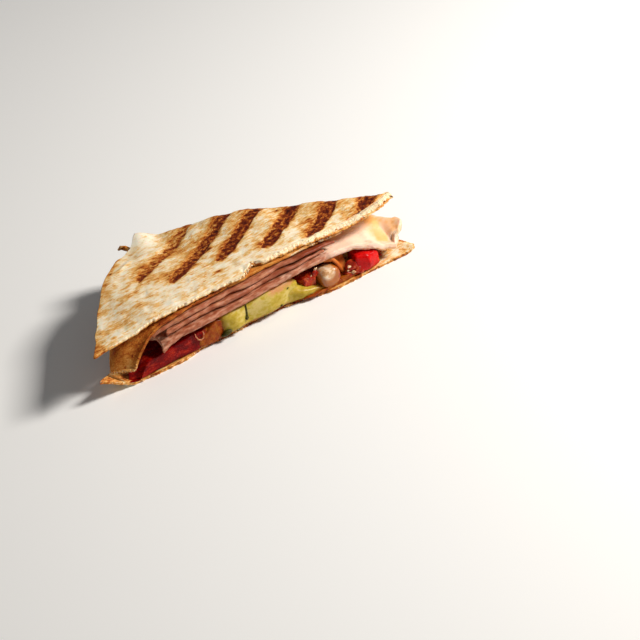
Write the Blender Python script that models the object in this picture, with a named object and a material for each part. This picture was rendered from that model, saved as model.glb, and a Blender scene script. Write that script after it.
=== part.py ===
"""One half of a grilled ham and cheese wrap, cut corner to corner from a flat folded packet.

Metres, +Z up. The wrap lies on its flat underside. The cut runs along X and faces -Y. The tortilla's
folded edge is the far right side, and its open end, with the round rim, is the far left side.
"""

import math

import bmesh
import bpy
from mathutils import Matrix, Vector, noise

MM = 0.001

# The half packet, seen from above, is a triangle with the cut along its longest side.
LEFT, RIGHT = -72.4 * MM, 73.8 * MM  # the two ends of the cut
BACK = Vector((-13.5 * MM, 64.5 * MM))  # the corner where the open end meets the folded edge
FOLD_BULGE = 5.5 * MM  # the folded edge is pushed out by the filling
FOLD_REACH = 5.5 * MM  # how much of each sheet the fold's round edge takes
TORN_FROM = 0.78  # of the folded side: from here to the right tip the fold is torn open
TIP_REACH = 2 * MM  # how far the lower sheet's right tip reaches past the upper one's
PAST_CUT = 0.9 * MM  # how far the sheets' edges reach past the cut, along the open side

# Thicknesses.
TORTILLA = 2.2 * MM
UNDERSIDE = 1.2 * MM  # the same sheet below the filling, pressed thinner
LAP = 1.1 * MM
HAM_THICK = 2.5 * MM
HAM_LOWER = 1.5 * MM
GAP = 0.45 * MM  # between one layer and the next

# Lines through a few (place, value) points. The values are millimetres, and so are the places, except in
# RIM_BULGE, where they are shares of the way from the fold to the cut.
RIM_BULGE = ((0, 0), (0.1, 0.2), (0.24, 4.6), (0.42, 6), (0.62, 4.6), (0.82, 2.2), (0.93, 0.6), (1, 0.5))
TOP_AT_CUT = (
    (-74, 21.8), (-57, 22.6), (-44, 24.3), (-5, 24.4), (9, 24.8), (24, 24.2), (46, 23.6), (74, 25.6),
)
TOP_AT_FOLD = (
    (-24, 24), (-9, 22.8), (-3, 24), (4, 25.3), (14, 27.4), (24, 28.2), (34, 26.4), (50, 27.6), (57, 27.4),
    (63, 25.6), (74, 25.8),
)
TOP_CUT = (
    (-74, -0.8), (-48, 0.2), (-20, 0.4), (-3.6, -0.7), (0, 2.2), (4, 4.6), (8.5, 1.9), (18, 1.8), (36, 0.2),
    (64, -0.8), (74, 1.4),
)
BOTTOM_CUT = ((-57, 0.6), (-40, -0.7), (-24, 1.3), (-10, 0.8), (5, 2.2), (20, -0.6), (34, -4.4))
LAP_FRONT = ((-50, -1.2), (-38, -0.9), (-26, -0.3), (-4, -0.2), (4, 0.6), (20, 0.4))
THIN_HAM = ((-50, 1.4), (-30, 1.9), (0, 1.9), (14, 1.5), (24, 1.1))  # the thickness of each thin slice
THICK_HAM_AT_CUT = (
    (-47, 8.4), (-41, 11.4), (-35, 12.4), (-21, 13.0), (-7, 13.2), (8, 13.9), (23, 14.5), (37, 14.1),
    (47, 13.3), (56, 10.6), (62, 7.4), (67, 6.0), (70, 8.6), (76, 12.4),
)
THICK_HAM_BEHIND = ((-60, 13.2), (-30, 14.1), (0, 14.9), (40, 15.3), (60, 15.2), (68, 14.2), (78, 13.6))
THICK_HAM_SLOPE = ((-50, 6), (-36, 9), (-20, 20), (40, 20), (56, 15), (66, 13), (74, 10))
THICK_HAM_RIGHT = ((0, 67.3), (2, 69.6), (4.3, 75), (10.5, 67.5), (13.5, 50), (22, 22), (34, 6), (50, -16))
THICK_HAM_FRONT = ((44, -2.2), (62, -5), (67, -5.5))
UPPER_HAM_FRONT = ((-50, -0.2), (-30, -1), (-12, -0.2), (2, -1.4), (14, -0.4), (26, -1.4), (40, -0.6))
MIDDLE_HAM_FRONT = ((-40, -1.6), (-22, -0.6), (-8, -1.7), (6, -0.8), (20, -1.8), (34, -1))
TOMATO_HEIGHT = ((-60, 3.2), (-50, 6), (-30, 7.4))

# Bumps of the upper sheet: place, half widths and height, in millimetres.
EAR = (-15, 61, 4.6, 7, 2.3)
DIP = (-26, 54, 5, 7, -1.8)

# The curled tips of the lower sheet.
LEFT_TIP_RISE, LEFT_TIP_FROM, LEFT_TIP_LENGTH = 8.2 * MM, -57 * MM, 19 * MM
LEFT_TIP_DEEP, LEFT_TIP_FADE = 14 * MM, 30 * MM
RIGHT_TIP_RISE, RIGHT_TIP_FROM, RIGHT_TIP_LENGTH = 5.2 * MM, 44 * MM, 14 * MM
RIGHT_TIP_BEFORE_FOLD, RIGHT_TIP_ACROSS = 7 * MM, 9 * MM

# How far parts of the filling hang, and over which lengths.
LAP_HANG, LAP_HANG_LENGTH, LAP_HANG_DEPTH = 12.4 * MM, 6.5 * MM, 16 * MM
HAM_SAG, HAM_SAG_AT, HAM_SAG_WIDTH = 0.7 * MM, 27 * MM, 9 * MM
SMALL_HAM_HANG, SMALL_HAM_HANG_FROM, SMALL_HAM_HANG_LENGTH = 8.2 * MM, 37.5 * MM, 6 * MM
SMALL_HAM_HANG_DEPTH = 5 * MM
SMALL_HAM_SET_BACK, SMALL_HAM_OUT_FROM, SMALL_HAM_OUT_LENGTH = 2.8 * MM, 33 * MM, 5 * MM

# The ends, heights and front swells of the small slice and the soft fillings.
SMALL_HAM_LEFT, SMALL_HAM_RIGHT = 21 * MM, 45.2 * MM
TOMATO_RIGHT = -20 * MM
CHEESE_RIGHT, CHEESE_SWELL = 21.6 * MM, 2 * MM
CHEESE_LOBES = ((-12 * MM, 5.5 * MM), (6 * MM, 9 * MM))  # the middle and half width of each
CHUNK_RIGHT, CHUNK_WIDER, CHUNK_HEIGHT, CHUNK_HIGHER = 29 * MM, 13.5 * MM, 7.4 * MM, 2 * MM
DROP_LEFT, DROP_RIGHT, DROP_HEIGHT = 29.5 * MM, 39.3 * MM, 8.2 * MM
PEPPER_LEFT, PEPPER_RIGHT, PEPPER_HEIGHT = 48 * MM, 59 * MM, 8 * MM
PEPPER_RIDGE, PEPPER_RIDGE_AT, PEPPER_RIDGE_WIDTH = 2.4 * MM, 52.2 * MM, 6 * MM
BETWEEN_LUMPS = 0.8 * MM

# Triangle counts.
SHEET_COLUMNS, TOP_ROWS, FOLD_ROWS, BOTTOM_ROWS = 44, 12, 8, 9

TO_RIGHT_TIP = Vector((RIGHT, 0)) - BACK
TO_LEFT_TIP = Vector((LEFT, 0)) - BACK
OPEN_SIDE, FOLD_SIDE = TO_LEFT_TIP.length, TO_RIGHT_TIP.length
ALONG_FOLD = TO_RIGHT_TIP / FOLD_SIDE
INTO_PACKET = TO_LEFT_TIP / OPEN_SIDE


def ease(t):
    """0 before 0, 1 after 1, and a smooth rise between them."""
    t = min(1.0, max(0.0, t))
    return t * t * (3 - 2 * t)


def arch(t):
    """0 at 0 and at 1, and 1 halfway."""
    return 4 * t * (1 - t) if 0 < t < 1 else 0.0


def hump(x, centre, width):
    """A smooth bump of height 1 at centre."""
    return math.exp(-(((x - centre) / width) ** 2))


def bump(x, y, spot):
    """One of the upper sheet's bumps."""
    at_x, at_y, wide, deep, height = (value * MM for value in spot)
    return height * hump(x, at_x, wide) * hump(y, at_y, deep)


def ripple(x, y, size, seed):
    """Even noise between about -1 and 1, with waves of this size."""
    return noise.noise(Vector((x / size, y / size, seed * 7.31)))


def through(x, line, unit=MM):
    """A smooth line through its (place, value) points, level beyond the ends. unit is that of the places."""
    x /= unit
    if x <= line[0][0]:
        return line[0][1] * MM
    for (x0, v0), (x1, v1) in zip(line, line[1:]):
        if x < x1:
            return (v0 + (v1 - v0) * ease((x - x0) / (x1 - x0))) * MM
    return line[-1][1] * MM


def left_edge(y, inset=0):
    """Where the open end lies at this y, moved inwards."""
    return LEFT + y * (BACK.x - LEFT) / BACK.y + inset * OPEN_SIDE / BACK.y


def right_edge(y, inset=0):
    """Where the folded side lies at this y, moved inwards."""
    return RIGHT - y * (RIGHT - BACK.x) / BACK.y - inset * FOLD_SIDE / BACK.y


def cut_back(y, most, depth):
    """How far a slice's end stands back: most at the cut, and nothing from this depth on."""
    return most * (1 - ease(y / depth))


# Heights of the layers over the plan. Each is the height of a sheet's middle.


def top_middle(x, y):
    """The upper sheet: nearly level at the cut, arched up along the fold, with an ear at the back corner."""
    to_fold = max(FOLD_REACH, (RIGHT - x) * BACK.y / (RIGHT - BACK.x))
    at_cut = through(x, TOP_AT_CUT)
    outer = at_cut + (through(x, TOP_AT_FOLD) - at_cut) * ease(y / to_fold)
    uneven = 0.6 * MM * ripple(x, y, 26 * MM, 1)
    return outer - TORTILLA / 2 + bump(x, y, EAR) + bump(x, y, DIP) + uneven


def bottom_middle(x, y):
    """The lower sheet: flat on the table, with its left tip and the right tip's far edge curling up."""
    left_tip = LEFT_TIP_RISE * ease((LEFT_TIP_FROM - x) / LEFT_TIP_LENGTH)
    left_tip *= 1 - ease((y - LEFT_TIP_DEEP) / LEFT_TIP_FADE)
    past_fold = (x - right_edge(y)) * BACK.y / FOLD_SIDE
    right_tip = RIGHT_TIP_RISE * ease((past_fold + RIGHT_TIP_BEFORE_FOLD) / RIGHT_TIP_ACROSS)
    right_tip *= ease((x - RIGHT_TIP_FROM) / RIGHT_TIP_LENGTH)
    return UNDERSIDE / 2 + left_tip + right_tip


def sheet_floor(x, y):
    return bottom_middle(x, y) + UNDERSIDE / 2 + GAP


def lap_left(y):
    """The lap's left edge: cut back at the front corner, then just inside the open end."""
    return left_edge(y, 1.1 * MM) + cut_back(y + 1.5 * MM, 14 * MM, 8 * MM)


def lap_middle(x, y):
    """The inner lap, under the upper sheet. Its left end bends down to the lower sheet."""
    below_top = top_middle(x, y) - TORTILLA / 2 - GAP - LAP / 2
    hang = LAP_HANG * math.exp(-max(0, x - lap_left(y)) / LAP_HANG_LENGTH)
    return max(below_top - cut_back(y - 3 * MM, hang, LAP_HANG_DEPTH), sheet_floor(x, y) + LAP)


def upper_ham_middle(x, y):
    wave = 0.3 * MM * (1 + ripple(x, y, 8 * MM, 3))
    return lap_middle(x, y) - (LAP + through(x, THIN_HAM)) / 2 - 1.1 * GAP - wave


def middle_ham_middle(x, y):
    """The second thin slice, which sags onto the thick one right of the middle."""
    sag = cut_back(y - 4 * MM, HAM_SAG * hump(x, HAM_SAG_AT, HAM_SAG_WIDTH), 10 * MM)
    wave = 0.25 * MM * (1 + ripple(x, y, 10 * MM, 4))
    return upper_ham_middle(x, y) - through(x, THIN_HAM) - 1.1 * GAP - sag - wave


def thick_ham_middle(x, y):
    """The thick slice, whose left front corner hangs as a tongue and whose right end slopes to the front."""
    front = through(x, THICK_HAM_AT_CUT)
    slope = ease((y + 3.5 * MM) / through(x, THICK_HAM_SLOPE))
    level = front + (through(x, THICK_HAM_BEHIND) - front) * slope + 0.15 * MM * ripple(x, y, 13 * MM, 5)
    below_thin_ham = middle_ham_middle(x, y) - (through(x, THIN_HAM) + HAM_THICK) / 2 - GAP
    return max(min(level, below_thin_ham), sheet_floor(x, y) + HAM_THICK / 2)


def small_ham_middle(x, y):
    """The small slice under the thick one. Its right front corner hangs down beside the pepper."""
    hang = SMALL_HAM_HANG * ease((x - SMALL_HAM_HANG_FROM) / SMALL_HAM_HANG_LENGTH)
    level = thick_ham_middle(x, y) - (HAM_THICK + HAM_LOWER) / 2 - GAP
    return level - cut_back(y + MM, hang, SMALL_HAM_HANG_DEPTH)


def small_ham_front(x):
    """Set back under the thick slice, and forward where it hangs."""
    return MM - SMALL_HAM_SET_BACK * ease((x - SMALL_HAM_OUT_FROM) / SMALL_HAM_OUT_LENGTH)


def under_thick_ham(x, y):
    """Where the filling under the thick slice may reach: lower where the small slice lies between them."""
    small_ham = (HAM_LOWER + GAP) * ease((x - SMALL_HAM_LEFT + 6 * MM) / (5 * MM))
    return thick_ham_middle(x, y) - HAM_THICK / 2 - GAP - small_ham


def under_small_ham(x, y):
    return small_ham_middle(x, y) - HAM_LOWER / 2 - GAP


def material(name, colour, roughness):
    made = bpy.data.materials.new(name)
    made.use_nodes = True
    shader = made.node_tree.nodes["Principled BSDF"]
    shader.inputs["Base Color"].default_value = (*colour, 1)
    shader.inputs["Roughness"].default_value = roughness
    shader.inputs["Metallic"].default_value = 0
    return made


def add_object(name, builder, look):
    """Turns a bmesh into a smooth-shaded object with this name and material."""
    mesh = bpy.data.meshes.new(name)
    builder.to_mesh(mesh)
    builder.free()
    mesh.shade_smooth()
    mesh.set_sharp_from_angle(angle=math.radians(50))
    mesh.materials.append(look)
    bpy.context.scene.collection.objects.link(bpy.data.objects.new(name, mesh))


def grid_normal(rows, i, j):
    """The sheet's normal at one point of its grid."""
    across = rows[j][min(i + 1, len(rows[j]) - 1)] - rows[j][max(i - 1, 0)]
    onward = rows[min(j + 1, len(rows) - 1)][i] - rows[max(j - 1, 0)][i]
    return across.cross(onward).normalized()


def add_sheet(name, look, rows, thickness, is_torn=None):
    """A closed sheet from a grid of points on its middle. Both faces are split into triangles alike.

    thickness(p, j) is its thickness at the point p of row j. is_torn(i, j) leaves out the square between the
    points i and i + 1 of the rows j and j + 1.
    """
    builder = bmesh.new()
    faces_of = []
    for side in (0.5, -0.5):
        faces_of.append([
            [
                builder.verts.new(p + grid_normal(rows, i, j) * thickness(p, j) * side)
                for i, p in enumerate(row)
            ]
            for j, row in enumerate(rows)
        ])
    front, back = faces_of
    border = {}
    for j in range(len(rows) - 1):
        for i in range(len(rows[0]) - 1):
            if is_torn and is_torn(i, j):
                continue
            corners = [(j, i), (j, i + 1), (j + 1, i + 1), (j + 1, i)]
            for split in ((0, 1, 2), (0, 2, 3)):
                builder.faces.new([front[corners[k][0]][corners[k][1]] for k in split])
                builder.faces.new([back[corners[k][0]][corners[k][1]] for k in reversed(split)])
            for start, end in zip(corners, corners[1:] + corners[:1]):
                if (end, start) in border:
                    del border[end, start]
                else:
                    border[start, end] = True
    for (j0, i0), (j1, i1) in border:
        builder.faces.new([front[j0][i0], back[j0][i0], back[j1][i1]])
        builder.faces.new([front[j0][i0], back[j1][i1], front[j1][i1]])
    loose = [v for v in builder.verts if not v.link_faces]
    bmesh.ops.delete(builder, geom=loose, context="VERTS")
    add_object(name, builder, look)


# The tortilla.


def packet_point(a, b, rim, cut, tip):
    """A point of the plan: a runs from the open end to the right tip, b from the fold to the cut."""
    start = -rim * through(b, RIM_BULGE, 1)
    side = FOLD_SIDE + tip
    s = start + (side - start) * a
    to_cut = OPEN_SIDE * (1 - s / side) + PAST_CUT
    d = -FOLD_BULGE * arch(a) ** 0.7 * (1 - b) + to_cut * b
    flat = BACK + ALONG_FOLD * s + INTO_PACKET * d
    return Vector((flat.x, flat.y + cut_back(to_cut * (1 - b), through(flat.x, cut), 14 * MM)))


def on_top(p):
    return Vector((p.x, p.y, top_middle(p.x, p.y)))


def on_bottom(p):
    return Vector((p.x, p.y, bottom_middle(p.x, p.y)))


def tortilla_column(a):
    """Points from the upper sheet's cut edge back to the fold, round it, and along the lower sheet."""
    depth = OPEN_SIDE * (1 - a) + PAST_CUT
    reach = min(FOLD_REACH * (0.6 + 0.4 * ease(a / 0.12)), 0.55 * depth)
    start = reach / depth
    tip = TIP_REACH * a**3
    upper = [
        packet_point(a, 1 - (1 - start) * (j / TOP_ROWS) ** 1.1, 1, TOP_CUT, 0)
        for j in range(TOP_ROWS + 1)
    ]
    lower = [
        packet_point(a, start + (1 - start) * (j / BOTTOM_ROWS) ** 0.9, 0.4, BOTTOM_CUT, tip)
        for j in range(BOTTOM_ROWS + 1)
    ]
    first, last = on_top(upper[-1]), on_bottom(lower[0])
    edge = packet_point(a, 0, 0, TOP_CUT, 0)
    low_edge = packet_point(a, 0, 0, BOTTOM_CUT, tip)
    opened = ease((a - TORN_FROM + 0.05) / 0.14)
    half = FOLD_ROWS / 2
    fold = []
    for j in range(1, FOLD_ROWS + 1):
        turn = math.pi * j / (FOLD_ROWS + 1)
        inner = first.lerp(last, (1 - math.cos(turn)) / 2)
        out = Vector((edge.x - inner.x, edge.y - inner.y, 0)) * math.sin(turn)
        if j <= half:
            flat = on_top(upper[-1].lerp(edge, j / half))
        else:
            flat = on_bottom(lower[0].lerp(low_edge, (FOLD_ROWS + 1 - j) / half))
        fold.append((inner + out).lerp(flat, opened))
    return [on_top(p) for p in upper] + fold + [on_bottom(p) for p in lower]


def add_tortilla(look):
    """The outer sheet: one round flatbread, folded along the far right side and open elsewhere."""
    columns = [tortilla_column(i / SHEET_COLUMNS) for i in range(SHEET_COLUMNS + 1)]
    rows = [list(row) for row in zip(*columns)]
    middle_of_fold = TOP_ROWS + FOLD_ROWS // 2
    add_sheet(
        "tortilla", look, rows,
        lambda p, j: TORTILLA + (UNDERSIDE - TORTILLA) * ease((j - TOP_ROWS) / FOLD_ROWS),
        is_torn=lambda i, j: j == middle_of_fold and (i + 1) / SHEET_COLUMNS > TORN_FROM,
    )


# The lap and the ham slices.


def slice_rows(height, left, right, front, across, back_rows, seed, wobble):
    """A slice's grid. left and right give its x range at each y, and front its front edge at each x."""
    last_y = 0.0
    while right(last_y) - left(last_y) > 14 * MM:
        last_y += 0.5 * MM
    rows = []
    for j in range(back_rows + 1):
        row_y = last_y * (j / back_rows) ** 1.3
        row = []
        for i in range(across + 1):
            x = left(row_y) + (right(row_y) - left(row_y)) * i / across
            y = row_y + cut_back(row_y, front(x), 16 * MM)
            side = abs(2 * i / across - 1) ** 6
            x += wobble * ripple(y, x, 5 * MM, seed) * side
            y += cut_back(row_y, wobble * ripple(x, y, 5 * MM, seed + 1) / 2, 5 * MM)
            row.append(Vector((x, y, height(x, y))))
        rows.append(row)
    return rows


def add_lap(look):
    """The tortilla's inner lap. Its own fold went with the other half, so the cut left it loose."""
    rows = slice_rows(
        lap_middle,
        lap_left,
        lambda y: right_edge(y, 11 * MM) - cut_back(y, 10 * MM, 12 * MM),
        lambda x: through(x, LAP_FRONT),
        32, 9, 11, 0.9 * MM,
    )
    add_sheet("tortilla_lap", look, rows, lambda p, j: LAP)


def add_ham(look):
    """Two thin slices, the thick one, and a small one under it at the right."""
    upper = slice_rows(
        upper_ham_middle,
        lambda y: left_edge(y, 9 * MM) + cut_back(y, 13 * MM, 20 * MM),
        lambda y: right_edge(y, 12 * MM) - cut_back(y, 13 * MM, 16 * MM),
        lambda x: through(x, UPPER_HAM_FRONT),
        24, 8, 21, 0.8 * MM,
    )
    add_sheet("ham_slice_1", look, upper, lambda p, j: through(p.x, THIN_HAM))
    middle = slice_rows(
        middle_ham_middle,
        lambda y: left_edge(y, 8 * MM) + cut_back(y, 20 * MM, 20 * MM),
        lambda y: right_edge(y, 12 * MM) - cut_back(y, 19 * MM, 20 * MM),
        lambda x: through(x, MIDDLE_HAM_FRONT),
        24, 8, 31, 0.8 * MM,
    )
    add_sheet("ham_slice_2", look, middle, lambda p, j: through(p.x, THIN_HAM))
    thick = slice_rows(
        thick_ham_middle,
        lambda y: left_edge(y, 7 * MM) + cut_back(y, 18 * MM, 14 * MM),
        lambda y: through(y, THICK_HAM_RIGHT),
        lambda x: through(x, THICK_HAM_FRONT),
        40, 13, 41, 0.7 * MM,
    )
    add_sheet("ham_slice_3", look, thick, lambda p, j: HAM_THICK)
    small = slice_rows(
        small_ham_middle,
        lambda y: SMALL_HAM_LEFT - 0.1 * y,
        lambda y: min(right_edge(y, 9 * MM), SMALL_HAM_RIGHT),
        small_ham_front,
        16, 12, 51, 0.5 * MM,
    )
    add_sheet("ham_slice_4", look, small, lambda p, j: HAM_LOWER)


# The lumps of filling on the lower sheet.


def add_lump(name, look, cuts, left, right, front, back, ceiling, squareness, bulge=None):
    """A rounded block on the lower sheet. left and right are functions of y, and ceiling of x and y."""
    builder = bmesh.new()
    bmesh.ops.create_cube(builder, size=2)
    bmesh.ops.subdivide_edges(builder, edges=builder.edges, cuts=cuts, use_grid_fill=True)
    for v in builder.verts:
        size = sum(abs(c) ** squareness for c in v.co) ** (1 / squareness)
        across, onward, up = ((c / size + 1) / 2 for c in v.co)
        y = front + (back - front) * onward**1.5
        x = left(y) + (right(y) - left(y)) * across
        if bulge:
            y -= bulge(x) * max(0.0, 1 - 2 * onward) * arch(up) ** 0.5
        low, high = sheet_floor(x, y), ceiling(x, y)
        v.co = (x, y, low + (high - low) * up)
    bmesh.ops.triangulate(builder, faces=builder.faces)
    add_object(name, builder, look)


def tomato_left(y):
    return left_edge(y, 8 * MM) - BETWEEN_LUMPS


def tomato_right(y):
    return TOMATO_RIGHT - 0.12 * y


def tomato_ceiling(x, y):
    return min(under_thick_ham(x, y), sheet_floor(x, y) + through(x, TOMATO_HEIGHT))


def cheese_left(y):
    return tomato_right(y) + BETWEEN_LUMPS


def cheese_right(y):
    return CHEESE_RIGHT - 0.2 * y - 8 * MM * ease((y - 18 * MM) / (26 * MM))


def cheese_bulge(x):
    """The melted cheese swells out of the cut in two lobes."""
    return CHEESE_SWELL * max(hump(x, middle, half) for middle, half in CHEESE_LOBES)


def chunk_left(y):
    return cheese_right(y) + BETWEEN_LUMPS


def chunk_right(y):
    """Beside the drop of cheese at the front, and wider behind it."""
    return CHUNK_RIGHT + CHUNK_WIDER * ease((y - 5 * MM) / (3 * MM))


def chunk_ceiling(x, y):
    height = CHUNK_HEIGHT + CHUNK_HIGHER * ease((x - 31 * MM) / (4 * MM))
    return min(under_small_ham(x, y), sheet_floor(x, y) + height)


def drop_ceiling(x, y):
    return min(under_small_ham(x, y), sheet_floor(x, y) + DROP_HEIGHT)


def pepper_ceiling(x, y):
    """The pepper stands right of the small slice, straight under the thick one."""
    return min(under_thick_ham(x, y) + HAM_LOWER, sheet_floor(x, y) + PEPPER_HEIGHT)


def pepper_ridge(x):
    """The pepper was diced, and one of its corners points to the front."""
    return PEPPER_RIDGE * max(0.0, 1 - abs(x - PEPPER_RIDGE_AT) / PEPPER_RIDGE_WIDTH)


def add_fillings(looks):
    add_lump(
        "tomato_slice", looks["tomato"], 7, tomato_left, tomato_right,
        front=-0.5 * MM, back=33 * MM, ceiling=tomato_ceiling, squareness=8,
    )
    add_lump(
        "melted_cheese", looks["cheese"], 9, cheese_left, cheese_right,
        front=-1 * MM, back=46 * MM, ceiling=under_thick_ham, squareness=6, bulge=cheese_bulge,
    )
    add_lump(
        "tomato_chunk", looks["tomato"], 6, chunk_left, chunk_right,
        front=-1.6 * MM, back=17 * MM, ceiling=chunk_ceiling, squareness=5,
    )
    add_lump(
        "cheese_blob", looks["cheese"], 4, lambda y: DROP_LEFT, lambda y: DROP_RIGHT,
        front=-5.4 * MM, back=4.6 * MM, ceiling=drop_ceiling, squareness=2.6,
    )
    add_lump(
        "red_pepper", looks["pepper"], 4, lambda y: PEPPER_LEFT + 0.25 * y, lambda y: PEPPER_RIGHT + 0.1 * y,
        front=-4.8 * MM, back=6 * MM, ceiling=pepper_ceiling, squareness=8, bulge=pepper_ridge,
    )


def centre_on_origin():
    """Moves every piece alike, so that the origin is under the middle of the whole."""
    meshes = [obj.data for obj in bpy.data.objects]
    points = [v.co for mesh in meshes for v in mesh.vertices]
    low, high = (Vector([pick(p[axis] for p in points) for axis in range(3)]) for pick in (min, max))
    move = Matrix.Translation((-(low.x + high.x) / 2, -(low.y + high.y) / 2, -low.z))
    for mesh in meshes:
        mesh.transform(move)


def main():
    for obj in list(bpy.data.objects):
        bpy.data.objects.remove(obj)
    looks = {
        "tortilla": material("tortilla", (0.80, 0.62, 0.36), 0.75),
        "lap": material("tortilla_inside", (0.72, 0.45, 0.18), 0.7),
        "ham": material("ham", (0.78, 0.42, 0.33), 0.45),
        "tomato": material("tomato", (0.55, 0.04, 0.02), 0.25),
        "pepper": material("red_pepper", (0.66, 0.02, 0.01), 0.2),
        "cheese": material("melted_cheese", (0.72, 0.62, 0.22), 0.3),
    }
    add_tortilla(looks["tortilla"])
    add_lap(looks["lap"])
    add_ham(looks["ham"])
    add_fillings(looks)
    centre_on_origin()


main()
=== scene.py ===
"""Looks of one half of a grilled ham and cheese wrap, cut corner to corner and lying on its flat underside.

The sections follow the wrap as it is made: the tortilla, its lap, the ham, the soft fillings, the sauce and
herbs, and then the crumbs that the knife left. Lengths are in millimetres, in the cut's own axes: X along the
cut, Y into the wrap and Z up. CUT_TO_FRAME moves them to the frame's axes, and MM turns them into metres.
"""

import math
import random

import bmesh
import bpy
from mathutils import Matrix, Vector, noise


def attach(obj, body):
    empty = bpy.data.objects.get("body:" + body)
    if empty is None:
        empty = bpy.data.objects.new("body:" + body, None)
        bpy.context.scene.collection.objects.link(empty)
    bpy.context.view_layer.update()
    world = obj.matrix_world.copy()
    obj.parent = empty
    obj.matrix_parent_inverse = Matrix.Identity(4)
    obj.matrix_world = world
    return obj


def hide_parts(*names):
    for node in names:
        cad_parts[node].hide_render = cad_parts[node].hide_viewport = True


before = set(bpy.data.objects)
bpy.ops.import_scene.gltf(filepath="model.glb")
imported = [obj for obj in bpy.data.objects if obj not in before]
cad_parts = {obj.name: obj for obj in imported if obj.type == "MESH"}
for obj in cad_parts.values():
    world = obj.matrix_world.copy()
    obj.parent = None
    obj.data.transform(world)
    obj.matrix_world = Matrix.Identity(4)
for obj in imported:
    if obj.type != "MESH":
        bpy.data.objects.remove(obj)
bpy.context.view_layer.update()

# The tortilla: one round flatbread of wheat dough, folded like a letter round the filling and pressed on a
# ribbed grill. The knife left its two sheets with crumbly white edges, and the fold tore open near the right
# tip.

MM = 0.001
CUT_TO_FRAME = Vector((-1.17, -29.205, 0))
LEFT, RIGHT = -72.4, 73.8
BACK = Vector((-13.5, 64.5))
FOLD_BULGE, FOLD_REACH = 5.5, 5.5
TORN_FROM = 0.78
TIP_REACH = 2
PAST_CUT = 0.9
TORTILLA = 2.2
UNDERSIDE = 1.2
GAP = 0.45
BETWEEN_SHEETS = 12
LEFT_TIP_RISE, LEFT_TIP_FROM, LEFT_TIP_LENGTH = 8.2, -57, 19
LEFT_TIP_DEEP, LEFT_TIP_FADE = 14, 30
RIGHT_TIP_RISE, RIGHT_TIP_FROM, RIGHT_TIP_LENGTH = 5.2, 44, 14
RIGHT_TIP_BEFORE_FOLD, RIGHT_TIP_ACROSS = 7, 9
COLUMNS, TOP_ROWS, FOLD_ROWS, BOTTOM_ROWS = 470, 56, 10, 24

# Lines through (place, value) points. The places of RIM_BULGE are shares of the way to the cut.
RIM_BULGE = ((0, 0), (0.1, 0.2), (0.24, 4.6), (0.42, 6), (0.62, 4.6), (0.82, 2.2), (0.93, 0.6), (1, 0.5))
TOP_AT_CUT = (
    (-74, 21.8), (-57, 22.6), (-44, 24.3), (-5, 24.4), (9, 24.8), (24, 24.2), (46, 23.6), (74, 25.6),
)
TOP_AT_FOLD = (
    (-24, 24), (-9, 22.8), (-3, 24), (4, 25.3), (14, 27.4), (24, 28.2), (34, 26.4), (50, 27.6), (57, 27.4),
    (63, 25.6), (74, 25.8),
)
TOP_CUT = (
    (-74, -0.8), (-48, 0.2), (-20, 0.4), (-3.6, -0.7), (0, 2.2), (4, 4.6), (8.5, 1.9), (18, 1.8), (36, 0.2),
    (64, -0.8), (74, 1.4),
)
BOTTOM_CUT = ((-57, 0.6), (-40, -0.7), (-24, 1.3), (-10, 0.8), (5, 2.2), (20, -0.6), (34, -4.4))
CREASE = ((-36.6, 41.1), (-28.3, 45.7), (-17.1, 44.1))

# Bumps of the upper sheet: place, half widths and height.
EAR = (-15, 61, 4.6, 7, 2.3)
DIP = (-26, 54, 5, 7, -1.8)

# Each grill mark: where its front end starts, its length and width, and how dark it is.
GRILL_TURN = math.radians(31)
GRILL_MARKS = (
    (-35.4, 28.4, 50, 5.2, 0.66), (-26.4, 16.4, 60, 5.6, 0.9), (-4.2, 15.6, 50, 5.6, 1.05),
    (13.6, 8.8, 40, 5.8, 1.05), (30.2, 1.6, 34, 5.8, 1.05), (55.4, 0.6, 24, 6.2, 1.05),
)
# Brown spots away from the marks, and the ear's brown edge and pale foot: place, half widths and strength.
BROWN_SPOTS = (
    (-8.7, 8.6, 3.2, 1.3, 0.5), (-45.8, 12.5, 5.5, 1.3, 0.2), (-56, 8, 5, 2.6, 0.34), (-44, 22, 5, 2.4, 0.2),
    (-2, 27.4, 2.4, 1.2, 0.6), (-13.6, 21, 3, 1.2, 0.3), (36, 12, 3, 1.2, 0.3), (-31, 24, 6, 3, 0.2),
    (-29, 37, 4.5, 3.5, 0.2), (-12, 37.5, 8, 4, 0.24),
)
EAR_BROWN = (-14, 67, 9, 3, 0.25)
EAR_PALE = (-17, 58, 7, 7, 0.26)

TO_RIGHT_TIP = Vector((RIGHT, 0)) - BACK
TO_LEFT_TIP = Vector((LEFT, 0)) - BACK
OPEN_SIDE, FOLD_SIDE = TO_LEFT_TIP.length, TO_RIGHT_TIP.length
ALONG_FOLD = TO_RIGHT_TIP / FOLD_SIDE
INTO_PACKET = TO_LEFT_TIP / OPEN_SIDE


def ease(t):
    """0 before 0, 1 after 1, and a smooth rise between them."""
    t = min(1.0, max(0.0, t))
    return t * t * (3 - 2 * t)


def arch(t):
    """0 at 0 and at 1, and 1 halfway."""
    return 4 * t * (1 - t) if 0 < t < 1 else 0.0


def hump(x, centre, width):
    """A smooth bump of height 1 at centre."""
    return math.exp(-(((x - centre) / width) ** 2))


def bump(x, y, spot):
    """A bump or brown spot of the upper sheet."""
    at_x, at_y, wide, deep, height = spot
    return height * hump(x, at_x, wide) * hump(y, at_y, deep)


def ripple(x, y, size, seed):
    """Even noise between about -1 and 1, with waves of this size."""
    return noise.noise(Vector((x / size, y / size, seed * 7.31)))


def grain(p, size, seed):
    """The same in all three directions, for a surface that isn't level."""
    return noise.noise(Vector((p.x / size, p.y / size, p.z / size + seed * 7.31)))


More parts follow.
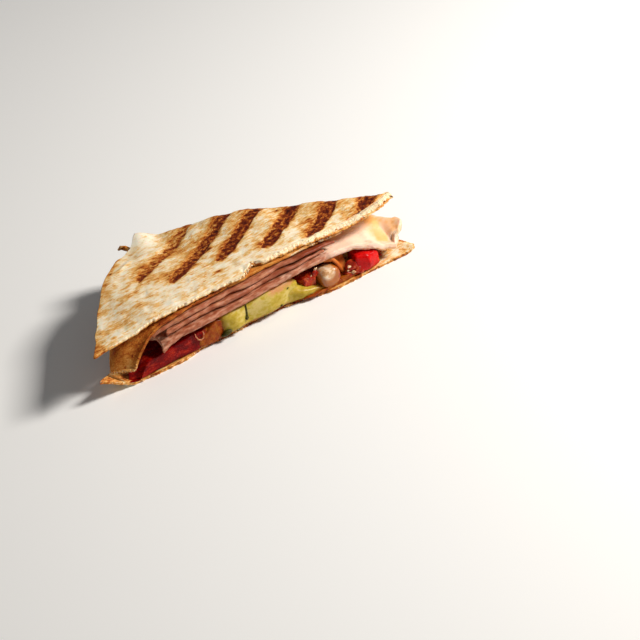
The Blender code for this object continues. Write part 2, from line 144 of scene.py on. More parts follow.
def through(x, line):
    """A smooth line through its (place, value) points, level beyond the ends."""
    if x <= line[0][0]:
        return line[0][1]
    for (x0, v0), (x1, v1) in zip(line, line[1:]):
        if x < x1:
            return v0 + (v1 - v0) * ease((x - x0) / (x1 - x0))
    return line[-1][1]


def cut_back(y, most, depth):
    """A value that is most at the cut and fades out over this depth."""
    return most * (1 - ease(y / depth))


def left_edge(y, inset=0):
    """Where the open end lies at this y, moved inwards."""
    return LEFT + y * (BACK.x - LEFT) / BACK.y + inset * OPEN_SIDE / BACK.y


def right_edge(y, inset=0):
    """Where the folded side lies at this y, moved inwards."""
    return RIGHT - y * (RIGHT - BACK.x) / BACK.y - inset * FOLD_SIDE / BACK.y


def top_middle(x, y):
    """Height of the upper sheet's middle: nearly level at the cut, arched up along the fold, with an ear."""
    to_fold = max(FOLD_REACH, (RIGHT - x) * BACK.y / (RIGHT - BACK.x))
    at_cut = through(x, TOP_AT_CUT)
    outer = at_cut + (through(x, TOP_AT_FOLD) - at_cut) * ease(y / to_fold)
    uneven = 0.6 * ripple(x, y, 26, 1)
    return outer - TORTILLA / 2 + bump(x, y, EAR) + bump(x, y, DIP) + uneven


def bottom_middle(x, y):
    """Height of the lower sheet's middle: flat, with its left tip and the right tip's far edge curling up."""
    left_tip = LEFT_TIP_RISE * ease((LEFT_TIP_FROM - x) / LEFT_TIP_LENGTH)
    left_tip *= 1 - ease((y - LEFT_TIP_DEEP) / LEFT_TIP_FADE)
    past_fold = (x - right_edge(y)) * BACK.y / FOLD_SIDE
    right_tip = RIGHT_TIP_RISE * ease((past_fold + RIGHT_TIP_BEFORE_FOLD) / RIGHT_TIP_ACROSS)
    right_tip *= ease((x - RIGHT_TIP_FROM) / RIGHT_TIP_LENGTH)
    return UNDERSIDE / 2 + left_tip + right_tip


def fray(x, seed):
    """How far torn dough strays from the knife's line: slow waves, and ragged teeth."""
    teeth = 0.45 * ripple(x, 0.7 * x, 1.9, seed + 1) + 0.3 * ripple(x, 0.6 * x, 0.9, seed + 2)
    return 0.35 * ripple(x, 0.4 * x, 6, seed) + teeth


def packet_point(a, b, rim, cut, tip, seed):
    """A point of the plan: a runs from the open end to the right tip, b from the fold to the cut."""
    start = -rim * through(b, RIM_BULGE)
    side = FOLD_SIDE + tip
    s = start + (side - start) * a
    to_cut = OPEN_SIDE * (1 - s / side) + PAST_CUT
    d = -FOLD_BULGE * arch(a) ** 0.7 * (1 - b) + to_cut * b
    flat = BACK + ALONG_FOLD * s + INTO_PACKET * d
    from_cut = to_cut * (1 - b)
    back = cut_back(from_cut, through(flat.x, cut), 14) + cut_back(from_cut, fray(flat.x, seed), 1.8)
    return Vector((flat.x, flat.y + back))


def on_top(p):
    return Vector((p.x, p.y, top_middle(p.x, p.y)))


def on_bottom(p):
    return Vector((p.x, p.y, bottom_middle(p.x, p.y)))


def tortilla_column(a):
    """Points from the upper sheet's cut edge back to the fold, round it, and forward on the lower sheet."""
    depth = OPEN_SIDE * (1 - a) + PAST_CUT
    reach = min(FOLD_REACH * (0.6 + 0.4 * ease(a / 0.12)), 0.55 * depth)
    start = reach / depth
    tip = TIP_REACH * a**3
    upper = [
        packet_point(a, 1 - (1 - start) * (j / TOP_ROWS) ** 1.35, 1, TOP_CUT, 0, 71)
        for j in range(TOP_ROWS + 1)
    ]
    lower = [
        packet_point(a, start + (1 - start) * (1 - (1 - j / BOTTOM_ROWS) ** 1.2), 0.4, BOTTOM_CUT, tip, 75)
        for j in range(BOTTOM_ROWS + 1)
    ]
    first, last = on_top(upper[-1]), on_bottom(lower[0])
    edge = packet_point(a, 0, 0, TOP_CUT, 0, 71)
    low_edge = packet_point(a, 0, 0, BOTTOM_CUT, tip, 75)
    opened = ease((a - TORN_FROM + 0.05) / 0.14)
    half = (FOLD_ROWS + 1) / 2
    fold = []
    for j in range(1, FOLD_ROWS + 1):
        turn = math.pi * j / (FOLD_ROWS + 1)
        inner = first.lerp(last, (1 - math.cos(turn)) / 2)
        out = Vector((edge.x - inner.x, edge.y - inner.y, 0)) * math.sin(turn)
        if j < half:
            flat = on_top(upper[-1].lerp(edge, j / half))
        else:
            flat = on_bottom(lower[0].lerp(low_edge, (FOLD_ROWS + 1 - j) / half))
        fold.append((inner + out).lerp(flat, opened))
    return [on_top(p) for p in upper] + fold + [on_bottom(p) for p in lower]


def grid_normal(rows, i, j):
    """The sheet's normal at one point of its grid."""
    across = rows[j][min(i + 1, len(rows[j]) - 1)] - rows[j][max(i - 1, 0)]
    onward = rows[min(j + 1, len(rows) - 1)][i] - rows[max(j - 1, 0)][i]
    return across.cross(onward).normalized()


def sheet_form(rows, thickness, skin, rim, steps=4, torn=None):
    """A closed sheet round a grid of points on its middle.

    thickness(p, j) is its thickness at the point p of row j. skin(p, n, side) moves a point of its outer (1)
    or inner (-1) face. rim(p, t) says how far its edge stands out, from t = 0 at the outer face to 1 at the
    inner one. torn(i, j) leaves out a square. Returns the points, the faces, and (p, n, side) for each point,
    with side running from 1 to -1 across the edge.
    """
    deep, wide = len(rows), len(rows[0])
    normals = [[grid_normal(rows, i, j) for i in range(wide)] for j in range(deep)]
    points, spots, faces, border = [], [], [], {}
    for side in (1, -1):
        for j in range(deep):
            for i in range(wide):
                p, n = rows[j][i], normals[j][i]
                points.append(p + n * (side * thickness(p, j) / 2) + skin(p, n, side))
                spots.append((p, n, side))
    inner = deep * wide
    for j in range(deep - 1):
        for i in range(wide - 1):
            if torn and torn(i, j):
                continue
            corners = [j * wide + i, j * wide + i + 1, (j + 1) * wide + i + 1, (j + 1) * wide + i]
            faces.append(corners)
            faces.append([inner + c for c in reversed(corners)])
            for start, end in zip(corners, corners[1:] + corners[:1]):
                if (end, start) in border:
                    del border[end, start]
                else:
                    border[start, end] = True
    outward = {}
    for start, end in border:
        way = (points[end] - points[start]).cross(spots[start][1])
        for c in (start, end):
            outward[c] = outward.get(c, Vector()) + way
    ladder = {}
    for c, way in outward.items():
        p, n = spots[c][0], spots[c][1]
        way = way.normalized()
        top, low = points[c].copy(), points[inner + c].copy()
        points[c] = top + way * rim(p, 0)
        points[inner + c] = low + way * rim(p, 1)
        ladder[c] = [c]
        for k in range(1, steps):
            ladder[c].append(len(points))
            points.append(top.lerp(low, k / steps) + way * rim(p, k / steps))
            spots.append((p, n, 1 - 2 * k / steps))
        ladder[c].append(inner + c)
    for start, end in border:
        for k in range(steps):
            faces.append([ladder[start][k], ladder[start][k + 1], ladder[end][k + 1], ladder[end][k]])
    used = sorted({c for face in faces for c in face})
    new = {c: n for n, c in enumerate(used)}
    return [points[c] for c in used], [[new[c] for c in face] for face in faces], [spots[c] for c in used]


def add_piece(name, form, look, slot, replaced=None, **values):
    """A smooth-shaded mesh piece that rides on the wrap. form is its points and faces.

    Its material reads values by their labels. Each is a function of the point, or a number for each point.
    """
    points, faces = form
    mesh = bpy.data.meshes.new(name)
    mesh.from_pydata([(p + CUT_TO_FRAME) * MM for p in points], [], faces)
    mesh.shade_smooth()
    for label, value in values.items():
        numbers = [value(p) for p in points] if callable(value) else value
        mesh.attributes.new(label, "FLOAT", "POINT").data.foreach_set("value", numbers)
    mesh.materials.append(look)
    piece = bpy.data.objects.new(name, mesh)
    bpy.context.scene.collection.objects.link(piece)
    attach(piece, "root")
    if replaced:
        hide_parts(replaced)


def add_sheet(name, look, slot, replaced, labels, finish, *form, **rest):
    """A sheet piece of this form, where finish(p, n, side) gives a point's value for each of labels.

    Returns each point with its (p, n, side).
    """
    points, faces, spots = sheet_form(*form, **rest)
    columns = zip(*(finish(*spot) for spot in spots))
    add_piece(name, (points, faces), look, slot, replaced, **dict(zip(labels, columns)))
    return list(zip(points, spots))


def put(tree, kind, inputs=None, **settings):
    """Adds a shader node. inputs maps a socket to a value, or to the output that feeds it."""
    made = tree.nodes.new("ShaderNode" + kind)
    for key, value in settings.items():
        setattr(made, key, value)
    for socket, value in (inputs or {}).items():
        if isinstance(value, bpy.types.NodeSocket):
            tree.links.new(value, made.inputs[socket])
        else:
            made.inputs[socket].default_value = value
    return made


def reckon(tree, operation, *values):
    """The result of a Math node."""
    return put(tree, "Math", dict(enumerate(values)), operation=operation).outputs[0]


def total(tree, start, *parts):
    """start plus each (value, times, middle) part: how far value lies from middle, times so much."""
    for value, times, middle in parts:
        start = reckon(tree, "ADD", reckon(tree, "MULTIPLY_ADD", value, times, -middle * times), start)
    return start


def mottle(tree, place, size, detail=4, stretch=(1, 1, 1), shift=0):
    """Noise round 0.5 with spots of this size, drawn out along the axes by stretch."""
    per_spot = [1 / (size * s * MM) for s in stretch]
    scaled = put(tree, "VectorMath", {0: place, 1: per_spot, 2: (shift,) * 3}, operation="MULTIPLY_ADD")
    return put(tree, "TexNoise", {"Vector": scaled.outputs[0], "Scale": 1, "Detail": detail}).outputs["Fac"]


def rise(tree, value, start, end):
    """0 below start, 1 above end, and a smooth rise between."""
    return put(tree, "MapRange", {0: value, 1: start, 2: end}, interpolation_type="SMOOTHSTEP").outputs[0]


def blend(tree, share, first, second):
    """One colour passing into another."""
    return put(tree, "Mix", {0: share, 6: first, 7: second}, data_type="RGBA").outputs[2]


def shades(tree, value, stops):
    """A colour ramp through (place, colour) stops."""
    made = put(tree, "ValToRGB", {0: value})
    elements = made.color_ramp.elements
    while len(elements) < len(stops):
        elements.new(0.5)
    for element, (place, colour) in zip(elements, stops):
        element.position = place
        element.color = (*colour, 1)
    return made.outputs[0]


def point_value(tree, label):
    """A number that each point of the mesh carries."""
    return put(tree, "Attribute", attribute_name=label).outputs["Fac"]


def new_look(name):
    """A new material, its node tree, and the place on the wrap as its nodes read it."""
    made = bpy.data.materials.new(name)
    made.use_nodes = True
    return made, made.node_tree, put(made.node_tree, "TexCoord").outputs["Object"]


def finish_look(tree, colour, roughness, height, strength, depth, constants):
    """Feeds the shader its colour, roughness and relief, and sets what is the same all over."""
    shader = tree.nodes["Principled BSDF"]
    relief = put(tree, "Bump", {"Height": height, "Strength": strength, "Distance": depth * MM}).outputs[0]
    for socket, output in (("Base Color", colour), ("Roughness", roughness), ("Normal", relief)):
        tree.links.new(output, shader.inputs[socket])
    for socket, value in constants.items():
        shader.inputs[socket].default_value = value


def baked_dough_group():
    """Dough from raw white to char.

    Toast is how far it is baked and Patchy how unevenly, Mark the grill marks and Crumb the torn inside.
    """
    group = bpy.data.node_groups.new("baked dough", "ShaderNodeTree")
    given_sockets = (
        ("Place", "Vector"), ("Toast", "Float"), ("Patchy", "Float"), ("Mark", "Float"), ("Crumb", "Float"),
    )
    result_sockets = (("Colour", "Color"), ("Roughness", "Float"), ("Height", "Float"))
    for way, sockets in (("INPUT", given_sockets), ("OUTPUT", result_sockets)):
        for label, kind in sockets:
            group.interface.new_socket(label, in_out=way, socket_type="NodeSocket" + kind)
    given = group.nodes.new("NodeGroupInput").outputs
    place = given["Place"]
    patch = mottle(group, place, 3.4, 8, (1.4, 1, 1))
    streak = mottle(group, place, 1.1, 4, (3, 1, 1), 3)
    line = mottle(group, place, 0.4, 3, (7, 1, 1), 5)
    fleck = mottle(group, place, 0.42, 2, shift=9)
    ragged = mottle(group, place, 1.6, 6, (1.3, 1, 1), shift=12)
    freckle = rise(group, mottle(group, place, 1.4, 1, (1.6, 1, 1), 15), 0.66, 0.76)
    uneven = total(group, 0.0, (patch, 0.85, 0.5), (streak, 0.5, 0.5), (line, 0.8, 0.5))
    toast = total(group, given["Toast"], (fleck, 0.25, 0.5), (freckle, 0.2, 0))
    baked = reckon(group, "MULTIPLY_ADD", uneven, given["Patchy"], toast)
    scorched = rise(group, total(group, given["Mark"], (ragged, 1.0, 0.5), (fleck, 0.5, 0.5)), 0.42, 0.52)
    char = total(group, 0.25, (given["Mark"], 0.48, 0), (fleck, 0.7, 0.5), (ragged, 1.2, 0.5))
    done = put(group, "Mix", {0: scorched, 2: baked, 3: char}, data_type="FLOAT").outputs[0]
    skin = shades(group, done, (
        (0.0, (0.93, 0.85, 0.69)), (0.16, (0.89, 0.73, 0.48)), (0.32, (0.80, 0.47, 0.15)),
        (0.5, (0.58, 0.21, 0.03)), (0.62, (0.33, 0.066, 0.008)), (0.76, (0.115, 0.010, 0.003)),
        (1.0, (0.02, 0.004, 0.003)),
    ))
    torn = shades(group, fleck, (
        (0.3, (0.72, 0.44, 0.19)), (0.42, (0.87, 0.66, 0.38)), (0.58, (0.94, 0.83, 0.61)),
    ))
    bare = rise(group, total(group, given["Crumb"], (fleck, 0.8, 0.5)), 0.36, 0.56)
    result = group.nodes.new("NodeGroupOutput").inputs
    group.links.new(blend(group, bare, skin, torn), result["Colour"])
    group.links.new(reckon(group, "MULTIPLY_ADD", streak, 0.3, 0.5), result["Roughness"])
    relief = total(group, 0.0, (streak, 0.6, 0), (line, 0.4, 0), (fleck, 0.4, 0), (scorched, -0.4, 0))
    group.links.new(relief, result["Height"])
    return group


baked_dough = baked_dough_group()
DOUGH_VALUES = ("toast", "mark", "crumb")


def dough_look(name, strength, patchy):
    """Matt baked dough, whose toast, mark and crumb come from the piece's own points."""
    made, tree, place = new_look(name)
    given = {"Place": place, "Patchy": patchy}
    for label in DOUGH_VALUES:
        given[label.capitalize()] = point_value(tree, label)
    dough = put(tree, "Group", given, node_tree=baked_dough).outputs
    finish_look(tree, dough["Colour"], dough["Roughness"], dough["Height"], strength, 0.4, {
        "Specular IOR Level": 0.12, "Subsurface Weight": 0.1, "Subsurface Scale": 1.2 * MM,
    })
    return made


def grill_mark(x, y):
    """The nearest grill mark: how far inside it a place lies, how dark it is there, and -1 to 1 across it."""
    nearest = (-1000.0, 0.0, 0.0)
    wander = 0.7 * ripple(x, y, 4, 81)
    for start_x, start_y, length, width, strength in GRILL_MARKS:
        x_off, y_off = x - start_x, y - start_y
        along = x_off * math.cos(GRILL_TURN) + y_off * math.sin(GRILL_TURN)
        off = x_off * math.sin(GRILL_TURN) - y_off * math.cos(GRILL_TURN) + wander
        half = width / 2 * (0.5 + 0.5 * ease(along / 7))
        depth = min(half - abs(off), along * 0.8, length - along)
        if depth > nearest[0]:
            nearest = (depth, strength + 0.15 * hump(along, 4, 5), max(-1.0, min(1.0, off / half)))
    return nearest


def crease_lift(x, y):
    """The thin ridge of a crease near the back corner."""
    here, nearest = Vector((x, y)), 1000.0
    for start, end in zip(CREASE, CREASE[1:]):
        a, b = Vector(start), Vector(end)
        share = max(0.0, min(1.0, (here - a).dot(b - a) / (b - a).length_squared))
        nearest = min(nearest, (here - a.lerp(b, share)).length)
    return 0.5 * math.exp(-((nearest / 1.1) ** 2))


def top_toast(x, y):
    """How far the outside is baked away from the marks: halos round them, brown rims and tips, and spots."""
    depth, dark, across = grill_mark(x, y)
    halo = (0.28 - 0.05 * across) * dark * math.exp(min(0.0, depth) / (1.5 - 0.6 * across))
    to_fold = (right_edge(y) - x) * BACK.y / FOLD_SIDE
    fold = 0.14 * math.exp(-max(0.0, to_fold + 3) / 8)
    rim = 0.25 * math.exp(-max(0.0, (x - left_edge(y)) * BACK.y / OPEN_SIDE + 4.2) / 0.9)
    tips = 0.34 * hump(x, -73, 8) + 0.2 * hump(x, 76, 10)
    ear = bump(x, y, EAR_BROWN) - bump(x, y, EAR_PALE)
    spots = max(bump(x, y, spot) for spot in BROWN_SPOTS)
    golden_right = 0.04 * ease((x - 30) / 30)
    return 0.17 + golden_right + halo + fold + rim + tips + ear + spots + 0.1 * ripple(x, y, 11, 83)


def blisters(x, y, seed):
    """Low bumps where steam lifted the dough, and its fine unevenness."""
    lifted = 0.2 * ease((ripple(x, y, 5.5, seed) - 0.1) * 2)
    return lifted + 0.12 * ripple(x, y, 2.4, seed + 1) + 0.06 * ripple(x, y, 0.9, seed + 2)


def tortilla_skin(p, n, side):
    """The faces' relief: blisters, pressed marks, and an edge crushed at the left, slanted at the right."""
    upper = p.z > BETWEEN_SHEETS
    from_cut = p.y - through(p.x, TOP_CUT)
    crushed = cut_back(from_cut, 0.55 * (1 - ease((p.x + 4) / 6)), 2.5) if upper else 0.0
    if side == -1:
        return n * (0.6 * crushed - 0.3 * blisters(p.x, p.y, 95))
    lift = blisters(p.x, p.y, 91 if upper else 97) * (1 if upper else 0.25)
    press = 0.28 * ease(0.5 + grill_mark(p.x, p.y)[0] / 1.6)
    if not upper:
        return n * min(0.0, lift - press)
    slant = cut_back(from_cut, 0.5 * ease((p.x - 3) / 6) + 2 * ease((p.x - 8) / 36), 3.4)
    return n * (lift + crease_lift(p.x, p.y) - press - crushed) + Vector((0, slant, -0.2 * slant))


def crumbly(p, t):
    """How far torn crumb stands out of a cut edge: soft clots and fine grains, most in the middle."""
    clots = 0.4 * noise.noise(p / 1.7 + Vector((0, 0, 5 * t)))
    grains = 0.2 * noise.noise(p / 0.8 + Vector((0, 0, 9 * t)))
    return (0.25 * arch(t) + clots + grains) * (0.35 + 0.65 * ease((p.x + 6) / 8))


def torn_fold(i, j):
    """Whether this square of the grid is left out, where the fold tore open."""
    torn_from = TORN_FROM + 0.012 * noise.noise(Vector((i / 9, 0, 0)))
    return j == TOP_ROWS + FOLD_ROWS // 2 and i / COLUMNS > torn_from


def tortilla_finish(p, n, side):
    """Toast, mark and crumb for a point of the outer sheet."""
    upper = p.z > BETWEEN_SHEETS
    if side == 1:
        depth, dark, across = grill_mark(p.x, p.y)
        mark = ease(0.5 + depth / 1.5) * dark * (1 + 0.3 * across)
        from_cut = p.y - through(p.x, TOP_CUT) if upper else 9
        bare = 0.5 * (1 - ease(from_cut / 1.8)) * (1 - hump(p.x, -75, 10))
        return top_toast(p.x, p.y), max(0.0, min(1.0, mark)), bare
    if side == -1:
        return 0.48 - 0.2 * ease((p.x - 50) / 10) + 0.06 * ripple(p.x, p.y, 7, 85), 0.0, 0.0
    along_cut = 1 - ease((p.y - 5) / 3)
    uneven = 0.25 * ripple(p.x, side * 2, 2.5, 87)
    if upper:
        hollow = 0.3 * hump(p.x, 2, 4)
        tips = 0.9 * hump(p.x, -75, 9)
        bare = 0.5 + 0.42 * side + uneven - hollow - tips
        return 0.38 - 0.06 * side + hollow + 0.2 * tips, 0.0, bare * (0.3 + 0.7 * along_cut)
    sauced = 0.4 * ease((p.x + 26) / 8) * (1 - ease((p.x - 26) / 10))
    return 0.5 + sauced * 0.3, 0.0, 0.28 + uneven - sauced


columns = [tortilla_column(i / COLUMNS) for i in range(COLUMNS + 1)]
toasted_dough = dough_look("toasted tortilla", 0.5, 1)
tortilla_points = add_sheet(
    "toasted_tortilla", toasted_dough, "tortilla", "tortilla", DOUGH_VALUES, tortilla_finish,
    list(zip(*columns)), lambda p, j: TORTILLA + (UNDERSIDE - TORTILLA) * ease((j - TOP_ROWS) / FOLD_ROWS),
    tortilla_skin, crumbly, steps=6, torn=torn_fold,
)

# The inner lap: the first third of the flatbread, folded in under the upper sheet. Its own fold went with the
# other half, so the cut left it loose, and its left end bends down as a golden curtain with a crumbly hem.

LAP = 1.1
LAP_FRONT = ((-50, -1.2), (-38, -0.6), (-26, 0), (-4, 0.1), (4, 0.6), (20, 0.4))
LAP_HANG, LAP_HANG_LENGTH, LAP_HANG_DEPTH = 12.4, 6.5, 16
# Its ends: how far inside the open end or the fold, how much further at the cut, and over what depth.
LAP_LEFT, LAP_RIGHT = (1.1, 14, 8), (11, 10, 12)
FRONT_DEPTH = 16
SLICE_BACK_WIDTH = 14
HEM_DEPTH = 9


def sheet_floor(x, y):
    return bottom_middle(x, y) + UNDERSIDE / 2 + GAP


def lap_left(y):
    """The lap's left edge: cut back at the front corner, then just inside the open end."""
    inset, most, depth = LAP_LEFT
    return left_edge(y, inset) + cut_back(y + 1.5, most, depth)


def lap_middle(x, y):
    """Height of the lap's middle."""
    below_top = top_middle(x, y) - TORTILLA / 2 - GAP - LAP / 2
    hang = LAP_HANG * math.exp(-max(0, x - lap_left(y)) / LAP_HANG_LENGTH)
    return max(below_top - cut_back(y - 3, hang, LAP_HANG_DEPTH), sheet_floor(x, y) + LAP)


def from_open_end(inset, most, depth):
    """A left edge this far inside the open end, and further in near the cut."""
    return lambda y: left_edge(y, inset) + cut_back(y, most, depth)


def from_fold(inset, most, depth):
    """A right edge this far inside the fold, and further in near the cut."""
    return lambda y: right_edge(y, inset) - cut_back(y, most, depth)


def slice_rows(height, left, right, front, across, back_rows, seed, wobble):
    """A slice's grid. left and right give its x range at each y, and front is the line of its front edge."""
    last_y = 0.0
    while right(last_y) - left(last_y) > SLICE_BACK_WIDTH:
        last_y += 0.5
    rows = []
    for j in range(back_rows + 1):
        row_y = last_y * (j / back_rows) ** 1.3
        row = []
        for i in range(across + 1):
            x = left(row_y) + (right(row_y) - left(row_y)) * i / across
            y = row_y + cut_back(row_y, through(x, front), FRONT_DEPTH)
            side = abs(2 * i / across - 1) ** 6
            x += wobble * ripple(y, x, 5, seed) * side
            y += cut_back(row_y, wobble * ripple(x, y, 5, seed + 1) / 2, 5)
            row.append(Vector((x, y, height(x, y))))
        rows.append(row)
    return rows


def from_hem(p):
    return p.x - lap_left(p.y)


def lap_finish(p, n, side):
    """Golden brown where it hangs at the left, lighter at the right, and crumbly along its hem."""
    hanging = math.exp(-max(0, from_hem(p)) / 9)
    toast = 0.6 - 0.06 * hanging + 0.1 * ripple(p.x, p.y, 7, 17) - 0.13 * ease((p.x + 14) / 9)
    hem = ease(1 - from_hem(p) / 1.8)
    torn_right = 0.4 * ease((p.x - 12) / 10) + 0.3 * ripple(p.x, p.y, 2.5, 19)
    return toast - 0.08 * hem, 0.0, max(hem * 0.4, torn_right) if abs(side) < 1 else 0.2 * hem


lap_rows = slice_rows(
    lap_middle, lap_left, from_fold(*LAP_RIGHT), LAP_FRONT, across=230, back_rows=60, seed=11, wobble=0.9,
)
steamed_dough = dough_look("steamed tortilla lap", 0.4, 0.4)
lap_points = add_sheet(
    "golden_lap", steamed_dough, "tortilla_inside", "tortilla_lap", DOUGH_VALUES, lap_finish,
    lap_rows, lambda p, j: LAP, lambda p, n, side: n * (0.12 * ripple(p.x, p.y, 2.2, 15)),
    lambda p, t: crumbly(p, t) * (0.5 + ease(1 - from_hem(p) / 3)), steps=5,
)
hem_points = [
    point for point, (p, n, side) in lap_points if abs(side) < 1 and from_hem(p) < 1 and p.y < HEM_DEPTH
]

# The ham: four slices of cooked ham. Two thin wavy ones lie under the lap, a thick one runs from a tongue at
# the left to a broad pale end at the right, and a small one under it hangs beside the pepper.

HAM_THICK = 2.5
HAM_LOWER = 1.5
# Ends of the slices, like those of the lap.
UPPER_HAM_LEFT, UPPER_HAM_RIGHT = (9, 13, 20), (12, 13, 16)
MIDDLE_HAM_LEFT, MIDDLE_HAM_RIGHT = (8, 20, 20), (12, 19, 20)
THICK_HAM_LEFT = (7, 18, 14)
HAM_SAG, HAM_SAG_AT, HAM_SAG_WIDTH = 0.7, 27, 9
SMALL_HAM_LEFT, SMALL_HAM_RIGHT = 21, 45.2
SMALL_HAM_HANG, SMALL_HAM_HANG_DEPTH = ((37.5, 0), (43.5, 8.2)), 5
SMALL_HAM_FRONT = ((33, 1), (38, -1.8))
THIN_HAM = ((-50, 1.4), (-30, 1.9), (0, 1.9), (14, 1.5), (24, 1.1))
THICK_HAM_AT_CUT = (
    (-47, 8.4), (-41, 11.4), (-35, 12.4), (-21, 13.0), (-7, 13.2), (8, 13.9), (23, 14.5), (37, 14.1),
    (47, 13.3), (56, 10.6), (62, 7.4), (67, 6.0), (70, 8.6), (76, 12.4),
)
THICK_HAM_BEHIND = ((-60, 13.2), (-30, 14.1), (0, 14.9), (40, 15.3), (60, 15.2), (68, 14.2), (78, 13.6))
THICK_HAM_SLOPE = ((-50, 6), (-36, 9), (-20, 20), (40, 20), (56, 15), (66, 13), (74, 10))
THICK_HAM_RIGHT = ((0, 67.3), (2, 69.6), (4.3, 75), (10.5, 67.5), (13.5, 50), (22, 22), (34, 6), (50, -16))
THICK_HAM_FRONT = ((44, -2.2), (62, -5), (67, -5.5))
UPPER_HAM_FRONT = ((-50, -0.2), (-30, -1), (-12, -0.2), (2, -1.4), (14, -0.4), (26, -1.4), (40, -0.6))
MIDDLE_HAM_FRONT = ((-40, -1.6), (-22, -0.6), (-8, -1.7), (6, -0.8), (20, -1.8), (34, -1))


def upper_ham_middle(x, y):
    wave = 0.4 * (1 + ripple(x, y, 6, 3))
    return lap_middle(x, y) - (LAP + through(x, THIN_HAM)) / 2 - 0.9 * GAP - wave


def middle_ham_middle(x, y):
    """The second thin slice, which sags onto the thick one right of the middle."""
    sag = cut_back(y - 4, HAM_SAG * hump(x, HAM_SAG_AT, HAM_SAG_WIDTH), 10)
    wave = 0.25 * (1 + ripple(x, y, 5, 4))
    return upper_ham_middle(x, y) - through(x, THIN_HAM) - 0.9 * GAP - sag - wave


def thick_ham_middle(x, y):
    """The thick slice. Its left front corner hangs as a tongue, and its right end slopes to the front."""
    front = through(x, THICK_HAM_AT_CUT)
    slope = ease((y + 3.5) / through(x, THICK_HAM_SLOPE))
    level = front + (through(x, THICK_HAM_BEHIND) - front) * slope + 0.15 * ripple(x, y, 13, 5)
    below_thin_ham = middle_ham_middle(x, y) - (through(x, THIN_HAM) + HAM_THICK) / 2 - 0.9 * GAP
    return max(min(level, below_thin_ham), sheet_floor(x, y) + HAM_THICK / 2)


def small_ham_middle(x, y):
    """The small slice under the thick one. Its right front corner hangs down beside the pepper."""
    hang = cut_back(y + 1, through(x, SMALL_HAM_HANG), SMALL_HAM_HANG_DEPTH)
    return thick_ham_middle(x, y) - (HAM_THICK + HAM_LOWER) / 2 - GAP - hang


def under_thick_ham(x, y):
    """Where the filling under the thick slice may reach: lower where the small slice lies between them."""
    small_ham = (HAM_LOWER + GAP) * ease((x - SMALL_HAM_LEFT + 6) / 5)
    return thick_ham_middle(x, y) - HAM_THICK / 2 - GAP - small_ham


def under_small_ham(x, y):
    return small_ham_middle(x, y) - HAM_LOWER / 2 - GAP


BROWNED_CORNER = (69.6, -3.4, 0.6, 0.6, 0.4)  # place, half widths and strength
# The ham's tints. brown is the browned corner and lip of the thick slice, and painted shade on the thin
# slices.
HAM_TINTS = {
    "pale": (0.90, 0.65, 0.50), "gold": (0.87, 0.45, 0.14), "brown": (0.22, 0.035, 0.010),
    "juice": (0.55, 0.13, 0.015),
}


def tinted(tree, colour, tints, coarse, fine, fine_share, start):
    """A colour that gives way to each of tints where the point value of that label is high."""
    for label, tint in tints.items():
        value = total(tree, point_value(tree, label), (coarse, 1.2, 0.5), (fine, fine_share, 0.5))
        colour = blend(tree, rise(tree, value, start, 1 - start), colour, (*tint, 1))
    return colour


def ham_look():
    """Moist meat with faint fibres along the slice. Its points say where it is pale, golden or stained."""
    made, tree, place = new_look("cooked ham")
    fibres = mottle(tree, place, 0.8, 4, (4, 1.5, 1.5), 2)
    cloud = mottle(tree, place, 5, 3, shift=4)
    meat = shades(tree, fibres, (
        (0.36, (0.31, 0.078, 0.032)), (0.5, (0.43, 0.148, 0.074)), (0.64, (0.58, 0.27, 0.17)),
    ))
    colour = tinted(tree, meat, HAM_TINTS, cloud, fibres, 0.5, 0.1)
    finish_look(tree, colour, reckon(tree, "MULTIPLY_ADD", cloud, 0.3, 0.28), fibres, 0.25, 0.3, {
        "Specular IOR Level": 0.22, "Subsurface Weight": 0.2, "Subsurface Radius": (1, 0.35, 0.2),
        "Subsurface Scale": 2 * MM,
    })
    return made


cooked_ham = ham_look()


def ham_skin(p, n, side):
    """Faint waves of a thin slice, the same on both faces."""
    return n * (side * 0.06 * grain(p, 1.6, 23)) + Vector((0, 0, 0.1 * ripple(p.x, p.y, 4, 25)))


def ham_rim(p, t):
    """A soft, slightly uneven cut edge, ragged at the far right."""
    ragged = 0.4 * ease((p.x - 60) / 6) * noise.noise(p / 0.9)
    return 0.3 * arch(t) + 0.2 * noise.noise(p / 1.4 + Vector((0, 0, 5 * t))) + ragged


def add_slice(name, node, rows, thick, finish, steps=5):
    """A ham slice. thick is its thickness at x, and finish(p, n, side) a point's value for each tint."""
    form = (rows, lambda p, j: thick(p.x), ham_skin, ham_rim, steps)
    add_sheet(name, cooked_ham, "ham", node, HAM_TINTS, finish, *form)


def upper_ham_finish(p, n, side):
    """Golden brown, and red-brown right of the middle: painted shade under the lap and the upper sheet."""
    return 0.0, 0.15, 0.2 + 0.55 * hump(p.x, 32, 14) + 0.3 * ripple(p.x, p.y, 5, 27), 0.0


# The lower thin slice: golden, with red-brown painted shade from the layers above, deepest right of the
# middle.
def middle_ham_finish(p, n, side):
    return 0.0, 0.1, 0.18 + 0.4 * hump(p.x, 16, 16) + 0.3 * ripple(p.x, p.y, 5, 37), 0.0


def thick_ham_finish(p, n, side):
    """Pink meat, pale towards the right and golden at its end, with a tanned lip and a browned corner."""
    pale = 0.28 * ease((p.x + 2) / 26) + 0.75 * ease((p.x - 30) / 14)
    pale += 0.12 * ease((-34 - p.x) / 8)
    golden = ease((p.x - 56) / 8) * (0.4 + 0.6 * ease((p.y + 3.4) / 3))
    # Right of x = 65, where the end slopes away from the key light, less gold leaves it paler: painted light.
    golden *= 1 - 0.45 * ease((p.x - 65) / 3)
    low_lip = ease((-side - 0.2) / 0.6) * (abs(side) < 1) * ease((p.x - 20) / 10)
    brown = bump(p.x, p.y, BROWNED_CORNER) + 0.2 * low_lip
    return pale, 0.85 * golden + 0.5 * low_lip, brown, 0.3 * low_lip


